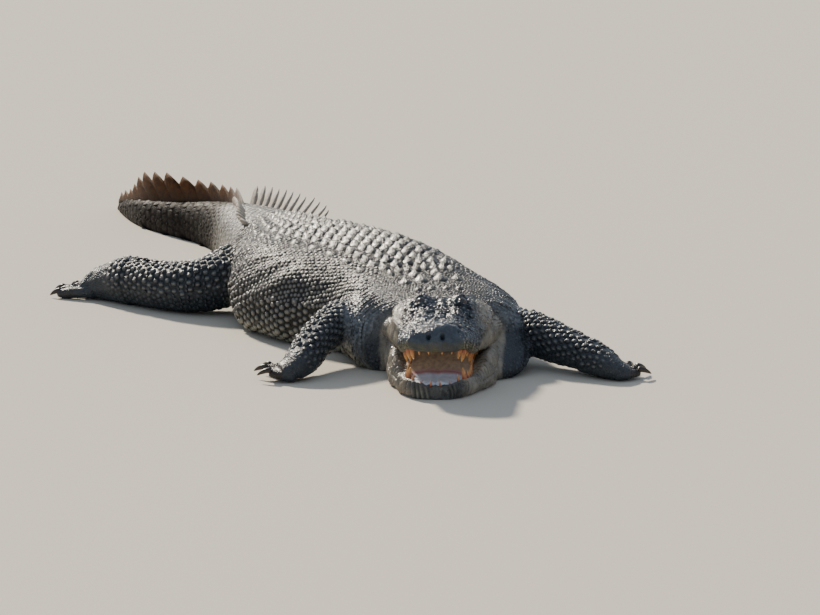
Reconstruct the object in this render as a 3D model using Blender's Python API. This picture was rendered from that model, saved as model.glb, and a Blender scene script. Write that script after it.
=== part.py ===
"""An adult mugger crocodile lying on its belly with its jaws parted, at life size.

Metres, +Z up, the floor at z = 0 and the snout towards -Y. Left and right are the animal's own, so its
right side is at -X. Neck, trunk and tail are lofted along one backbone route drawn on the floor plan, the
limbs along routes of their own, and thin cuts part them into the pieces that a person would name.
"""

import math
from collections import namedtuple

import bmesh
import bpy
import numpy as np
from mathutils import Vector

# ---------------------------------------------------------------- driving dimensions
TOTAL_LENGTH = 4.02  # snout tip to tail tip, along the backbone
HEAD_LENGTH = 0.58  # snout tip to the back of the skull
SHOULDERS = 0.84  # where the neck meets the trunk, along the backbone
VENT = 1.957  # where the trunk meets the tail
TAIL_CUTS = (2.684, 3.360)  # where the tail is parted into three lengths, between two crest scutes
JAW_CORNER = 0.455  # where the mouth line ends, from the snout tip
CUT = 0.0003  # gap left between neighbouring pieces
FLOOR = 0.0

# The backbone on the floor plan: straight through the head, then swinging to the animal's right
BACKBONE = (
    (-0.006, 0.000), (0.006, 0.200), (0.018, 0.380), (0.020, 0.500), (0.004, 0.620), (-0.044, 0.760),
    (-0.116, 0.920), (-0.216, 1.085), (-0.330, 1.255), (-0.442, 1.445), (-0.530, 1.670), (-0.590, 1.910),
    (-0.636, 2.150), (-0.684, 2.390), (-0.738, 2.620), (-0.812, 2.840), (-0.920, 3.020), (-1.048, 3.175),
    (-1.158, 3.345), (-1.232, 3.540), (-1.284, 3.730),
)  # fmt: skip

# Cross-sections along the backbone: half width, height of the back, height of the widest line, and
# how square the upper half is (2 is an ellipse)
Station = namedtuple("Station", "along half top belt square")
BODY = [
    Station(0.48, 0.290, 0.258, 0.110, 2.4),
    Station(0.60, 0.312, 0.272, 0.115, 2.3),
    Station(0.72, 0.324, 0.292, 0.120, 2.2),
    Station(0.88, 0.306, 0.326, 0.122, 2.2),
    Station(1.06, 0.342, 0.346, 0.112, 2.2),
    Station(1.24, 0.384, 0.352, 0.106, 2.3),
    Station(1.42, 0.380, 0.352, 0.108, 2.4),
    Station(1.56, 0.330, 0.348, 0.120, 2.5),
    Station(1.72, 0.250, 0.340, 0.130, 2.6),
    Station(1.90, 0.206, 0.326, 0.130, 2.7),
    Station(2.20, 0.168, 0.294, 0.122, 2.8),
    Station(2.50, 0.138, 0.254, 0.110, 2.8),
    Station(2.80, 0.106, 0.216, 0.096, 2.6),
    Station(3.10, 0.076, 0.176, 0.082, 2.3),
    Station(3.40, 0.050, 0.136, 0.066, 2.2),
    Station(3.70, 0.030, 0.096, 0.048, 2.2),
    Station(3.92, 0.014, 0.058, 0.030, 2.0),
    Station(4.02, 0.007, 0.034, 0.016, 2.0),
]
BODY_SIDES = 18
BELLY_PRESS = 0.040  # how far a round belly would sink, so how wide its flat on the floor is

# ---------------------------------------------------------------- head, measured back from the snout tip
# Half width, height of the top line with the jaws parted, and the skull section's share (0 is all snout)
Jaw = namedtuple("Jaw", "along half top skull")
UPPER_JAW = [
    Jaw(0.000, 0.034, 0.190, 0.0),
    Jaw(0.008, 0.066, 0.208, 0.0),
    Jaw(0.028, 0.098, 0.230, 0.0),
    Jaw(0.060, 0.115, 0.247, 0.0),
    Jaw(0.100, 0.121, 0.245, 0.0),
    Jaw(0.195, 0.137, 0.237, 0.1),
    Jaw(0.250, 0.139, 0.238, 0.2),
    Jaw(0.310, 0.151, 0.246, 0.6),
    Jaw(0.370, 0.173, 0.255, 0.9),
    Jaw(0.430, 0.192, 0.260, 1.0),
    Jaw(0.490, 0.206, 0.262, 1.0),
    Jaw(0.535, 0.236, 0.264, 1.0),
    Jaw(0.580, 0.304, 0.270, 1.0),
]
SNOUT_SECTION = (  # share of the half width, share of the rise from the lip to the top
    (0.18, 1.00), (0.48, 0.94), (0.75, 0.79), (0.93, 0.57), (1.00, 0.34), (0.99, 0.12), (0.92, 0.00),
)  # fmt: skip
SKULL_SECTION = (
    (0.16, 1.00), (0.42, 0.99), (0.66, 0.89), (0.85, 0.67), (0.96, 0.42), (1.00, 0.18), (0.94, 0.00),
)  # fmt: skip
NECK_SECTION = (
    (0.12, 1.00), (0.30, 0.97), (0.54, 0.87), (0.76, 0.68), (0.91, 0.43), (0.975, 0.20), (0.995, 0.00),
)  # fmt: skip
PALATE = ((0.78, 0.06), (0.50, 0.85), (0.17, 1.00))  # share of the half width, share of the vault's rise
Mandible = namedtuple("Mandible", "along right left rim")
LOWER_JAW = [  # half widths of its right and left sides, height of the tooth rim
    Mandible(0.004, 0.038, 0.038, 0.050),
    Mandible(0.016, 0.074, 0.074, 0.058),
    Mandible(0.042, 0.104, 0.104, 0.064),
    Mandible(0.085, 0.124, 0.126, 0.062),
    Mandible(0.150, 0.142, 0.146, 0.060),
    Mandible(0.220, 0.160, 0.170, 0.068),
    Mandible(0.290, 0.176, 0.200, 0.078),
    Mandible(0.360, 0.192, 0.236, 0.092),
    Mandible(0.420, 0.204, 0.260, 0.114),
    Mandible(0.480, 0.218, 0.274, 0.128),
    Mandible(0.535, 0.250, 0.288, 0.132),
    Mandible(0.580, 0.303, 0.303, 0.132),
]
CHIN_SECTION = (  # share of the half width, share of the rim's height, from the tooth rim down
    (0.86, 1.00), (0.95, 0.80), (1.00, 0.50), (0.94, 0.18), (0.80, 0.00), (0.40, 0.00),
)  # fmt: skip
CHEEK_SECTION = (
    (0.62, 1.00), (0.88, 1.00), (0.98, 0.70), (1.00, 0.32), (0.90, 0.00), (0.45, 0.00),
)  # fmt: skip
CHEEK_FROM, CHEEK_TO = 0.05, 0.26  # where the narrow chin gives way to the fleshy cheeks
MOUTH_FLOOR = ((0.23, 1.00), (0.60, 0.90), (0.84, 0.30))  # share of the way to the rim, share of the depth
GAPE = 0.250  # rise of the upper jaw for each metre ahead of the mouth's corner
PALATE_VAULT = 0.016
MOUTH_DEPTH = 0.034  # from the lower rim down to the mouth's floor
Rise = namedtuple("Rise", "along across length width height")
BROW = Rise(0.385, 0.060, 0.046, 0.030, 0.028)  # the bony ridge over each eye
NOSE = Rise(0.038, 0.0, 0.030, 0.040, 0.010)  # the nasal disc round the nostrils
TONGUE_CLEARANCE = 0.0065
EYE_RADIUS = 0.019
EYE_ALONG, EYE_ACROSS, EYE_HEIGHT = 0.370, 0.068, 0.258
# Length of each tooth, from the front backwards: long at the fourth lower and the fifth and tenth upper
UPPER_TEETH = (20, 24, 32, 22, 22, 34, 30, 22, 24, 17)
LOWER_TEETH = (22, 20, 34, 20, 20, 26, 24, 18)
TOOTH_WIDTH = 0.34  # share of its length
TOOTH_ROOT = 0.018  # sunk in the gum

# ---------------------------------------------------------------- crest of the tail
DOUBLE_CREST = (1.920, 2.720, 12)  # from, to, and scutes in each of its two rows
SINGLE_CREST = (2.800, 3.920, 13)
CREST_HEIGHT = [  # worn low towards the tip
    (1.92, 0.034), (2.10, 0.050), (2.40, 0.060), (2.72, 0.066), (2.80, 0.046), (2.98, 0.052), (3.14, 0.066),
    (3.24, 0.080), (3.34, 0.094), (3.50, 0.096), (3.60, 0.066), (3.70, 0.036), (3.95, 0.016),
]  # fmt: skip
WORN_ROW = 0.45  # how much is left of the double crest's right row, as a share of the left one's height
CREST_FLARE = 1.0  # how far the tips of the two rows lean apart, as a share of their height
DOUBLE_RAKE, SINGLE_RAKE = 0.35, 0.55  # how far a scute's tip lies behind its base, as a share of its height
SCUTE_THICKNESS = 0.012

# ---------------------------------------------------------------- limbs
Joint = namedtuple("Joint", "x y z wide deep")  # a point of the limb's axis, its width and thickness
Digit = namedtuple("Digit", "turn length thick clawed")  # from the inner digit outwards
Limb = namedtuple("Limb", "upper lower palm digits twist lift")  # twist and lift: the toes' turn and rise
FRONT_DIGITS = (
    Digit(-40, 0.086, 0.029, True),
    Digit(-18, 0.106, 0.029, True),
    Digit(3, 0.112, 0.027, True),
    Digit(24, 0.098, 0.024, False),
    Digit(46, 0.080, 0.021, False),
)
HIND_DIGITS = (
    Digit(-24, 0.130, 0.036, True),
    Digit(-8, 0.168, 0.036, True),
    Digit(8, 0.178, 0.034, True),
    Digit(24, 0.150, 0.030, False),
)
LIMBS = {
    "right_front": Limb(
        (Joint(-0.200, 0.760, 0.150, 0.140, 0.160), Joint(-0.285, 0.690, 0.150, 0.135, 0.150),
         Joint(-0.355, 0.590, 0.135, 0.124, 0.136)),
        (Joint(-0.355, 0.590, 0.135, 0.124, 0.136), Joint(-0.412, 0.460, 0.105, 0.116, 0.120),
         Joint(-0.452, 0.360, 0.066, 0.100, 0.096)),
        (Joint(-0.452, 0.360, 0.066, 0.100, 0.096), Joint(-0.484, 0.322, 0.048, 0.102, 0.080),
         Joint(-0.526, 0.306, 0.030, 0.102, 0.062)),
        FRONT_DIGITS, -62, 0.026,
    ),
    "left_front": Limb(
        (Joint(0.160, 0.740, 0.130, 0.150, 0.150), Joint(0.290, 0.610, 0.118, 0.145, 0.152),
         Joint(0.420, 0.500, 0.088, 0.134, 0.132)),
        (Joint(0.420, 0.500, 0.088, 0.134, 0.132), Joint(0.508, 0.424, 0.068, 0.116, 0.108),
         Joint(0.576, 0.362, 0.048, 0.094, 0.082)),
        (Joint(0.576, 0.362, 0.048, 0.094, 0.082), Joint(0.612, 0.340, 0.038, 0.098, 0.062),
         Joint(0.648, 0.340, 0.024, 0.100, 0.050)),
        FRONT_DIGITS, -64, 0.018,
    ),
    "right_hind": Limb(
        (Joint(-0.540, 1.680, 0.180, 0.240, 0.230), Joint(-0.700, 1.560, 0.142, 0.230, 0.220),
         Joint(-0.840, 1.520, 0.100, 0.200, 0.190)),
        (Joint(-0.840, 1.520, 0.100, 0.200, 0.190), Joint(-0.980, 1.580, 0.088, 0.170, 0.172),
         Joint(-1.110, 1.700, 0.084, 0.148, 0.164)),
        (Joint(-1.110, 1.700, 0.084, 0.148, 0.164), Joint(-1.180, 1.770, 0.068, 0.142, 0.132),
         Joint(-1.250, 1.830, 0.044, 0.144, 0.092)),
        HIND_DIGITS, 0, 0.008,
    ),
    "left_hind": Limb(
        (Joint(-0.400, 1.760, 0.170, 0.220, 0.220), Joint(-0.255, 1.680, 0.135, 0.215, 0.210),
         Joint(-0.135, 1.690, 0.098, 0.180, 0.180)),
        (Joint(-0.135, 1.690, 0.098, 0.180, 0.180), Joint(-0.065, 1.790, 0.086, 0.155, 0.165),
         Joint(-0.050, 1.920, 0.076, 0.136, 0.146)),
        (Joint(-0.050, 1.920, 0.076, 0.136, 0.146), Joint(-0.060, 2.000, 0.056, 0.134, 0.108),
         Joint(-0.075, 2.080, 0.035, 0.138, 0.074)),
        HIND_DIGITS, 0, 0.008,
    ),
}  # fmt: skip
LIMB_SIDES = 12
DIGIT_SIDES = 6
CLAW_LENGTH = 0.034
# Share of the claw's length, its radius there and the height of its middle, as shares of the toe's thickness
CLAW_SHAPE = ((0.0, 0.40, 0.40), (0.5, 0.30, 0.38), (0.85, 0.15, 0.24), (1.0, 0.04, 0.10))


# ---------------------------------------------------------------- scene and materials
def clear_scene():
    for obj in list(bpy.data.objects):
        bpy.data.objects.remove(obj)


def new_collection(name):
    made = bpy.data.collections.new(name)
    bpy.context.scene.collection.children.link(made)
    return made


def new_material(name, colour, roughness):
    made = bpy.data.materials.new(name)
    made.use_nodes = True
    shader = made.node_tree.nodes["Principled BSDF"]
    shader.inputs["Base Color"].default_value = (*colour, 1.0)
    shader.inputs["Roughness"].default_value = roughness
    shader.inputs["Metallic"].default_value = 0.0
    return made


# ---------------------------------------------------------------- reading routes and tables
def slopes(x, y):
    """Slopes of a smooth curve through points, flat at each peak so that it never overshoots."""
    step, rise = np.diff(x), np.diff(y, axis=0)
    lean = rise / step.reshape(-1, *[1] * (rise.ndim - 1))
    found = np.zeros_like(y)
    found[0], found[-1] = lean[0], lean[-1]
    before, after = lean[:-1], lean[1:]
    same_way = before * after > 0
    total = np.where(same_way, before + after, 1.0)
    found[1:-1] = np.where(same_way, 2 * before * after / total, 0.0)
    return found


def read(table, along):
    """Every value of a table of stations at one distance along it, smoothly between its rows."""
    rows = np.array(table, float)
    x, y = rows[:, 0], rows[:, 1:]
    lean = slopes(x, y)
    at = min(max(along, x[0]), x[-1])
    i = min(max(int(np.searchsorted(x, at)) - 1, 0), len(x) - 2)
    span = x[i + 1] - x[i]
    t = (at - x[i]) / span
    h = ((1 + 2 * t) * (1 - t) ** 2, t * (1 - t) ** 2, t * t * (3 - 2 * t), t * t * (t - 1))
    return h[0] * y[i] + h[1] * span * lean[i] + h[2] * y[i + 1] + h[3] * span * lean[i + 1]


class Route:
    """A smooth curve through a few points, read by the distance along it."""

    def __init__(self, points, steps=16):
        ends = [2 * Vector(points[0]) - Vector(points[1]), 2 * Vector(points[-1]) - Vector(points[-2])]
        p = [ends[0], *map(Vector, points), ends[1]]
        line = [p[1]]
        for a, b, c, d in zip(p, p[1:], p[2:], p[3:], strict=False):
            for step in range(1, steps + 1):
                t = step / steps
                line.append(
                    0.5 * (2 * b + (c - a) * t + (2 * a - 5 * b + 4 * c - d) * t**2
                           + (3 * b - a - 3 * c + d) * t**3)
                )  # fmt: skip
        self.line = np.array(line)
        legs = np.linalg.norm(np.diff(self.line, axis=0), axis=1)
        self.along = np.concatenate([[0.0], np.cumsum(legs)])
        self.length = float(self.along[-1])

    def at(self, along):
        return Vector([np.interp(along, self.along, axis) for axis in self.line.T])

    def ahead(self, along, reach=0.02):
        return (self.at(along + reach) - self.at(along - reach)).normalized()


# ---------------------------------------------------------------- making closed bodies
def object_from(bm, name, collection, material=None):
    mesh = bpy.data.meshes.new(name)
    bmesh.ops.recalc_face_normals(bm, faces=bm.faces)
    bm.to_mesh(mesh)
    bm.free()
    mesh.shade_smooth()
    obj = bpy.data.objects.new(name, mesh)
    collection.objects.link(obj)
    if material:
        mesh.materials.append(material)
    return obj


def add_loft(bm, rings):
    """Skins a row of unlike rings with triangles, so that twins match face for face, and caps its ends."""
    rows = [[bm.verts.new(point) for point in ring] for ring in rings]
    for one, two in zip(rows, rows[1:], strict=False):
        for k in range(len(one)):
            j = (k + 1) % len(one)
            bm.faces.new((one[k], one[j], two[j]))
            bm.faces.new((one[k], two[j], two[k]))
    bm.faces.new(rows[0])
    bm.faces.new(rows[-1])


def loft(name, rings, collection, material=None):
    bm = bmesh.new()
    add_loft(bm, rings)
    return object_from(bm, name, collection, material)


def as_cutter(obj):
    obj.hide_render = True
    obj.display_type = "WIRE"
    return obj


def add_boolean(obj, other, operation):
    modifier = obj.modifiers.new(other.name, "BOOLEAN")
    modifier.operation = operation
    modifier.object = other


def spread(start, end, step):
    """Evenly spaced distances from start to end, about a step apart."""
    return list(np.linspace(start, end, max(2, round((end - start) / step) + 1)))


def power(value, square):
    """The coordinate of a superellipse: 2 gives a round one, and more a squarer one."""
    return math.copysign(abs(value) ** (2 / square), value)


# ---------------------------------------------------------------- neck, trunk and tail
backbone = Route([(x, y, 0.0) for x, y in BACKBONE])


def on_body(along, across, height):
    """A point at a distance along the backbone, out to the animal's left, and above the floor."""
    ahead = backbone.ahead(along)
    left = Vector((ahead.y, -ahead.x, 0.0))
    return backbone.at(along) + left * across + Vector((0, 0, height))


def body_ring(along, grow=0.0):
    """One cross-section of the body, flat where it lies on the floor."""
    half, top, belt, square = read(BODY, along)
    press = min(BELLY_PRESS, 0.4 * belt)
    ring = []
    for k in range(BODY_SIDES):
        turn = 2 * math.pi * (k + 0.5) / BODY_SIDES
        if math.sin(turn) > 0:
            across = (half + grow) * power(math.cos(turn), 2.3)
            height = belt + (top + grow - belt) * power(math.sin(turn), square)
        else:
            across = (half + grow) * power(math.cos(turn), 2.8)
            height = belt + (belt + press) * power(math.sin(turn), 2.8)
        ring.append(on_body(along, across, max(height, FLOOR)))
    return ring


def back_height(along, across):
    """How high the back is, some way out from its middle line."""
    half, top, belt, square = read(BODY, along)
    cos = min(abs(across) / half, 0.98) ** (2.3 / 2)
    return belt + (top - belt) * power(math.sqrt(1 - cos * cos), square)


def crest_scute(bm, along, side, length):
    """A flat, raked triangle standing on the tail, its foot sunk in the body; side is -1, 0 or 1."""
    height = float(read(CREST_HEIGHT, along)[0]) * (WORN_ROW if side < 0 else 1.0)
    rake = SINGLE_RAKE if side == 0 else DOUBLE_RAKE
    apart = 1 - 0.8 * min(1.0, max(0.0, (along - 2.0) / 0.8))
    across = side * (0.55 * apart + 0.10) * read(BODY, along)[0]
    foot = back_height(along, across) - 0.35 * height
    made = bmesh.ops.create_cone(
        bm, cap_ends=True, segments=4, radius1=0.5, radius2=0.04, depth=1.0, calc_uvs=False
    )
    for vert in made["verts"]:
        rise = (vert.co.z + 0.5) * 1.35 * height
        back = along + vert.co.x * length + rise * rake
        out = across + vert.co.y * SCUTE_THICKNESS + side * CREST_FLARE * apart * rise
        vert.co = on_body(back, out, foot + rise)


def tail_crest(start, end, collection):
    """The crest scutes that stand on one length of the body, as one helper for a union."""
    bm = bmesh.new()
    for (first, last, count), sides in ((DOUBLE_CREST, (-1, 1)), (SINGLE_CREST, (0,))):
        pitch = (last - first) / (count - 1)
        for i in range(count):
            along = first + pitch * i
            if start < along < end:
                for side in sides:
                    crest_scute(bm, along, side, 0.86 * pitch)
    return as_cutter(object_from(bm, f"crest_from_{start:.2f}", collection))


def make_body(parts, helpers, hide):
    """Neck, trunk and three lengths of tail, each a loft with its crest joined on."""
    cuts = (
        ("neck", HEAD_LENGTH, SHOULDERS, 0.056),
        ("trunk", SHOULDERS, VENT, 0.064),
        ("tail_base", VENT, TAIL_CUTS[0], 0.060),
        ("tail_middle", TAIL_CUTS[0], TAIL_CUTS[1], 0.055),
        ("tail_end", TAIL_CUTS[1], TOTAL_LENGTH, 0.050),
    )
    trimmer = [body_ring(HEAD_LENGTH - 0.14, grow=0.016)]
    for name, start, end, step in cuts:
        stations = spread(start + CUT / 2, end - CUT / 2, step)
        piece = loft(name, [body_ring(s) for s in stations], parts, hide)
        if end > DOUBLE_CREST[0]:
            add_boolean(piece, tail_crest(start, end, helpers), "UNION")
        if end < TAIL_CUTS[1]:
            trimmer += [body_ring(s, grow=CUT) for s in stations]
    return as_cutter(loft("body_cutter", trimmer, helpers))


# ---------------------------------------------------------------- head
def lip_height(along):
    """The tooth line of the closed mouth: it waves, and climbs to the mouth's corner."""
    return float(read(LOWER_JAW, along)[2])


def jaw_lift(along):
    """How far the upper lip stands above the lower rim at this distance from the snout tip."""
    ahead = JAW_CORNER - along
    return GAPE * 0.5 * (ahead + math.sqrt(ahead**2 + 0.02**2)) if ahead > -0.03 else 0.0


def bump(kind, along, across):
    """A rounded rise on the top of the head."""
    a = (along - kind.along) / kind.length
    c = (abs(across) - kind.across) / kind.width
    return kind.height * math.exp(-(a * a) - c * c)


def mouth_open(along):
    """1 inside the mouth, falling to 0 at its corner."""
    return min(1.0, max(0.0, (JAW_CORNER - along) / 0.06))


def at_neck(along):
    """0 on the head, rising to 1 where it meets the neck."""
    return min(1.0, max(0.0, (along - 0.50) / (HEAD_LENGTH - 0.50)))


def upper_ring(along):
    half, top, skull = read(UPPER_JAW, along)
    lip = lip_height(along) + jaw_lift(along) + CUT / 2
    vault = PALATE_VAULT * mouth_open(along) * min(1.0, along / 0.08)
    side = []
    for snout, cranium, nape in zip(SNOUT_SECTION, SKULL_SECTION, NECK_SECTION, strict=True):
        out, rise = (
            (a * (1 - skull) + b * skull) * (1 - at_neck(along)) + c * at_neck(along)
            for a, b, c in zip(snout, cranium, nape, strict=True)
        )
        bony = (bump(BROW, along, half * out) + bump(NOSE, along, half * out)) * rise**2
        side.append((half * out, lip + (top - lip) * rise + bony))
    side += [(half * out, lip + vault * rise) for out, rise in PALATE]
    right = [on_body(along, -across, height) for across, height in side]
    left = [on_body(along, across, height) for across, height in reversed(side)]
    return right + left


def lower_section(along):
    """The lower jaw's outline, from its tooth rim down: a narrow chin that widens into the cheeks."""
    step = min(1.0, max(0.0, (along - CHEEK_FROM) / (CHEEK_TO - CHEEK_FROM)))
    cheek = step * step * (3 - 2 * step)
    return [
        (a * (1 - cheek) + c * cheek, b * (1 - cheek) + d * cheek)
        for (a, b), (c, d) in zip(CHIN_SECTION, CHEEK_SECTION, strict=True)
    ]


def rim_half(along):
    """How far out the lower teeth's rim stands, on both sides."""
    return lower_section(along)[0][0] * float(read(LOWER_JAW, along)[0])


def lower_ring(along, grow=0.0):
    right_half, left_half, rim = read(LOWER_JAW, along) + grow
    depth = MOUTH_DEPTH * mouth_open(along) * min(1.0, along / 0.06)
    rim -= CUT / 2
    inner = rim_half(along) + (0.995 * right_half - rim_half(along)) * at_neck(along)
    mouth = [(inner * out, rim - depth * fall) for out, fall in MOUTH_FLOOR] + [(inner, rim)]
    skin = [(out + (0.995 - out) * at_neck(along) * rise, rim * rise) for out, rise in lower_section(along)[1:]]
    right = [*mouth, *((right_half * out, height) for out, height in skin)]
    left = [*mouth, *((left_half * out, height) for out, height in skin)]
    return [on_body(along, -across, height) for across, height in right] + [
        on_body(along, across, height) for across, height in reversed(left)
    ]


def tooth(bm, along, across, height, length, up):
    """A blunt cone, sunk a little in the gum."""
    made = bmesh.ops.create_cone(
        bm, cap_ends=True, segments=4, radius1=0.5, radius2=0.08, depth=1.0, calc_uvs=False
    )
    width = TOOTH_WIDTH * length + 0.002
    for vert in made["verts"]:
        reach = (vert.co.z + 0.5) * (length + TOOTH_ROOT) - TOOTH_ROOT
        side = across + vert.co.x * width
        vert.co = on_body(along + vert.co.y * width, side, height + up * reach)


def teeth(name, lengths, half_at, height_at, up, span, helpers):
    """Both sides' teeth as one helper: spaced along the jaw's margin, crowded round its tip."""
    bm = bmesh.new()
    for i, millimetres in enumerate(lengths):
        along = span[0] + (span[1] - span[0]) * ((i + 0.5) / len(lengths)) ** 1.25
        for side in (-1, 1):
            across = side * half_at(along, side) * (0.45 if i == 0 else 1.0)
            tooth(bm, along, across, height_at(along), millimetres / 1000, up)
    return as_cutter(object_from(bm, name, helpers))


def make_head(parts, helpers, hide, gum):
    def upper_row(along, side):
        return 0.86 * float(read(UPPER_JAW, along)[0])

    def lower_row(along, side):
        return 0.92 * rim_half(along)

    def upper_lip(along):
        return lip_height(along) + jaw_lift(along)

    back = HEAD_LENGTH - CUT / 2
    steps = [0.0, 0.006, 0.018, 0.036, 0.058, 0.082, 0.106, 0.130, *spread(0.158, back, 0.030)]
    head = loft("head", [upper_ring(s) for s in steps], parts, hide)
    steps = [0.004, 0.010, 0.022, 0.040, 0.062, *spread(0.092, back, 0.034)]
    jaw = loft("lower_jaw", [lower_ring(s) for s in steps], parts, hide)
    jaw_cutter = as_cutter(loft("jaw_cutter", [lower_ring(s, grow=CUT) for s in steps[-8:]], helpers))
    upper = teeth("upper_teeth", UPPER_TEETH, upper_row, upper_lip, -1, (0.006, 0.355), helpers)
    lower = teeth("lower_teeth", LOWER_TEETH, lower_row, lip_height, 1, (0.014, 0.310), helpers)
    add_boolean(head, upper, "UNION")
    add_boolean(jaw, lower, "UNION")
    make_tongue(parts, gum)
    for name, side in (("right_eye", -1), ("left_eye", 1)):
        socket = as_cutter(eyeball(f"{name}_socket", side, EYE_RADIUS + CUT, helpers))
        add_boolean(head, socket, "DIFFERENCE")
        eyeball(name, side, EYE_RADIUS, parts)
    return jaw_cutter


def eyeball(name, side, radius, collection):
    bm = bmesh.new()
    bmesh.ops.create_uvsphere(bm, u_segments=10, v_segments=7, radius=radius)
    obj = object_from(bm, name, collection)
    obj.location = on_body(EYE_ALONG, side * EYE_ACROSS, EYE_HEIGHT)
    return obj


def make_tongue(parts, gum):
    """A broad flat tongue, fixed along the floor of the mouth."""
    rings = []
    for along in spread(0.075, 0.385, 0.039):
        share = (along - 0.075) / 0.31
        half = rim_half(along) * 0.50 * math.sqrt(0.25 + 0.75 * min(1.0, 4 * share))
        floor = lip_height(along) - MOUTH_DEPTH * min(1.0, along / 0.06) * mouth_open(along)
        ring = []
        for k in range(12):
            turn = 2 * math.pi * (k + 0.5) / 12
            lift = 0.017 * power(math.sin(turn), 2.4) if math.sin(turn) > 0 else 0.0
            height = floor + TONGUE_CLEARANCE + (0.3 + 0.7 * min(1.0, 5 * share)) * lift
            ring.append(on_body(along, half * power(math.cos(turn), 2.2), height))
        rings.append(ring)
    return loft("tongue", rings, parts, gum)


# ---------------------------------------------------------------- limbs
def make_digit(name, base, heading, digit, lift, parts, helpers, horn):
    """One toe: a helper for the foot's union, arched and then level, and its claw."""
    ahead = Vector((math.cos(heading), math.sin(heading), 0.0))
    side = Vector((ahead.y, -ahead.x, 0.0))
    thick = digit.thick
    shape = ((0.0, 0.80, 1.1), (0.40, 0.66, 0.95), (0.78, 0.37, 0.8), (1.0, 0.25, 0.55))
    rings = []
    for share, height, size in shape:
        centre = base + ahead * (share * digit.length)
        centre.z = height * thick + lift * share
        ring = []
        for k in range(DIGIT_SIDES):
            turn = 2 * math.pi * k / DIGIT_SIDES + math.pi / 2
            point = centre + side * (0.5 * size * thick * math.cos(turn))
            point.z = max(point.z + 0.5 * size * thick * math.sin(turn), FLOOR)
            ring.append(point)
        rings.append(ring)
    toe = as_cutter(loft(f"{name}_toe", rings, helpers))
    if digit.clawed:
        tip = base + ahead * (digit.length + CUT)
        rings = []
        for share, size, drop in CLAW_SHAPE:
            centre = tip + ahead * (share * CLAW_LENGTH)
            ring = []
            for k in range(DIGIT_SIDES - 1):
                turn = 2 * math.pi * k / (DIGIT_SIDES - 1) + math.pi / 2
                point = centre + side * (0.5 * size * thick * math.cos(turn))
                point.z = max(drop * thick + 0.5 * size * thick * math.sin(turn), 0.0012) + lift
                ring.append(point)
            rings.append(ring)
        loft(f"{name}_claw", rings, parts, horn)
    return toe


def make_limb(name, limb, trimmers, parts, helpers, hide, horn):
    """Upper and lower limb and foot along one route, parted at the joints, with toes and claws."""
    joints = [*limb.upper, *limb.lower[1:], *limb.palm[1:]]
    route = Route([(j.x, j.y, j.z) for j in joints])
    marks = np.interp(np.arange(len(joints)) * 16, np.arange(len(route.along)), route.along)
    elbow, wrist = marks[len(limb.upper) - 1], marks[len(limb.upper) + len(limb.lower) - 2]
    words = ("upper_arm", "forearm", "hand") if "front" in name else ("thigh", "shank", "foot")
    sizes = [(mark, j.wide, j.deep) for mark, j in zip(marks, joints, strict=True)]

    def rings(start, end, count):
        made = []
        for along in np.linspace(start, end, count):
            wide, deep = read(sizes, along)
            made.append(limb_ring(route, along, wide, deep))
        return made

    upper = loft(f"{name}_{words[0]}", rings(0.0, elbow - CUT / 2, 6), parts, hide)
    for trimmer in trimmers:
        add_boolean(upper, trimmer, "DIFFERENCE")
    lower = loft(f"{name}_{words[1]}", rings(elbow + CUT / 2, wrist - CUT / 2, 7), parts, hide)
    add_boolean(lower, trimmers[0], "DIFFERENCE")
    foot = loft(f"{name}_{words[2]}", rings(wrist + CUT / 2, route.length, 5), parts, hide)

    ahead = route.ahead(route.length - 0.02)
    heading = math.atan2(ahead.y, ahead.x)
    end = Vector((joints[-1].x, joints[-1].y, 0.0))
    outward = Vector((ahead.y, -ahead.x, 0.0)).normalized() * (1 if "right" in name else -1)
    for i, digit in enumerate(limb.digits):
        out = i / (len(limb.digits) - 1) - 0.5
        base = end - Vector((ahead.x, ahead.y, 0)) * 0.035 + outward * (out * 0.78 * joints[-1].wide)
        turn = heading - math.radians(digit.turn - limb.twist) * (-1 if "left" in name else 1)
        toe = make_digit(f"{name}_digit_{i + 1}", base, turn, digit, limb.lift, parts, helpers, horn)
        add_boolean(foot, toe, "UNION")


def limb_ring(route, along, wide, deep):
    """One ring square to a limb's axis, never below the floor."""
    ahead = route.ahead(along)
    side = ahead.cross(Vector((0, 0, 1))).normalized()
    up = side.cross(ahead)
    ring = []
    for k in range(LIMB_SIDES):
        turn = 2 * math.pi * (k + 0.5) / LIMB_SIDES
        point = route.at(along) + side * (0.5 * wide * power(math.cos(turn), 2.3))
        point += up * (0.5 * deep * power(math.sin(turn), 2.3))
        point.z = max(point.z, FLOOR)
        ring.append(point)
    return ring


# ---------------------------------------------------------------- the whole animal
def centre_on_floor(parts):
    """Moves every object so that the middle of the animal's box on the floor is the origin."""
    bpy.context.view_layer.update()
    graph = bpy.context.evaluated_depsgraph_get()
    corners = []
    for obj in parts.objects:
        shown = obj.evaluated_get(graph)
        corners += [shown.matrix_world @ Vector(corner) for corner in shown.bound_box]
    box = np.array(corners)
    middle = (box.min(axis=0) + box.max(axis=0)) / 2
    for obj in bpy.data.objects:
        obj.location -= Vector((middle[0], middle[1], 0.0))


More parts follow.
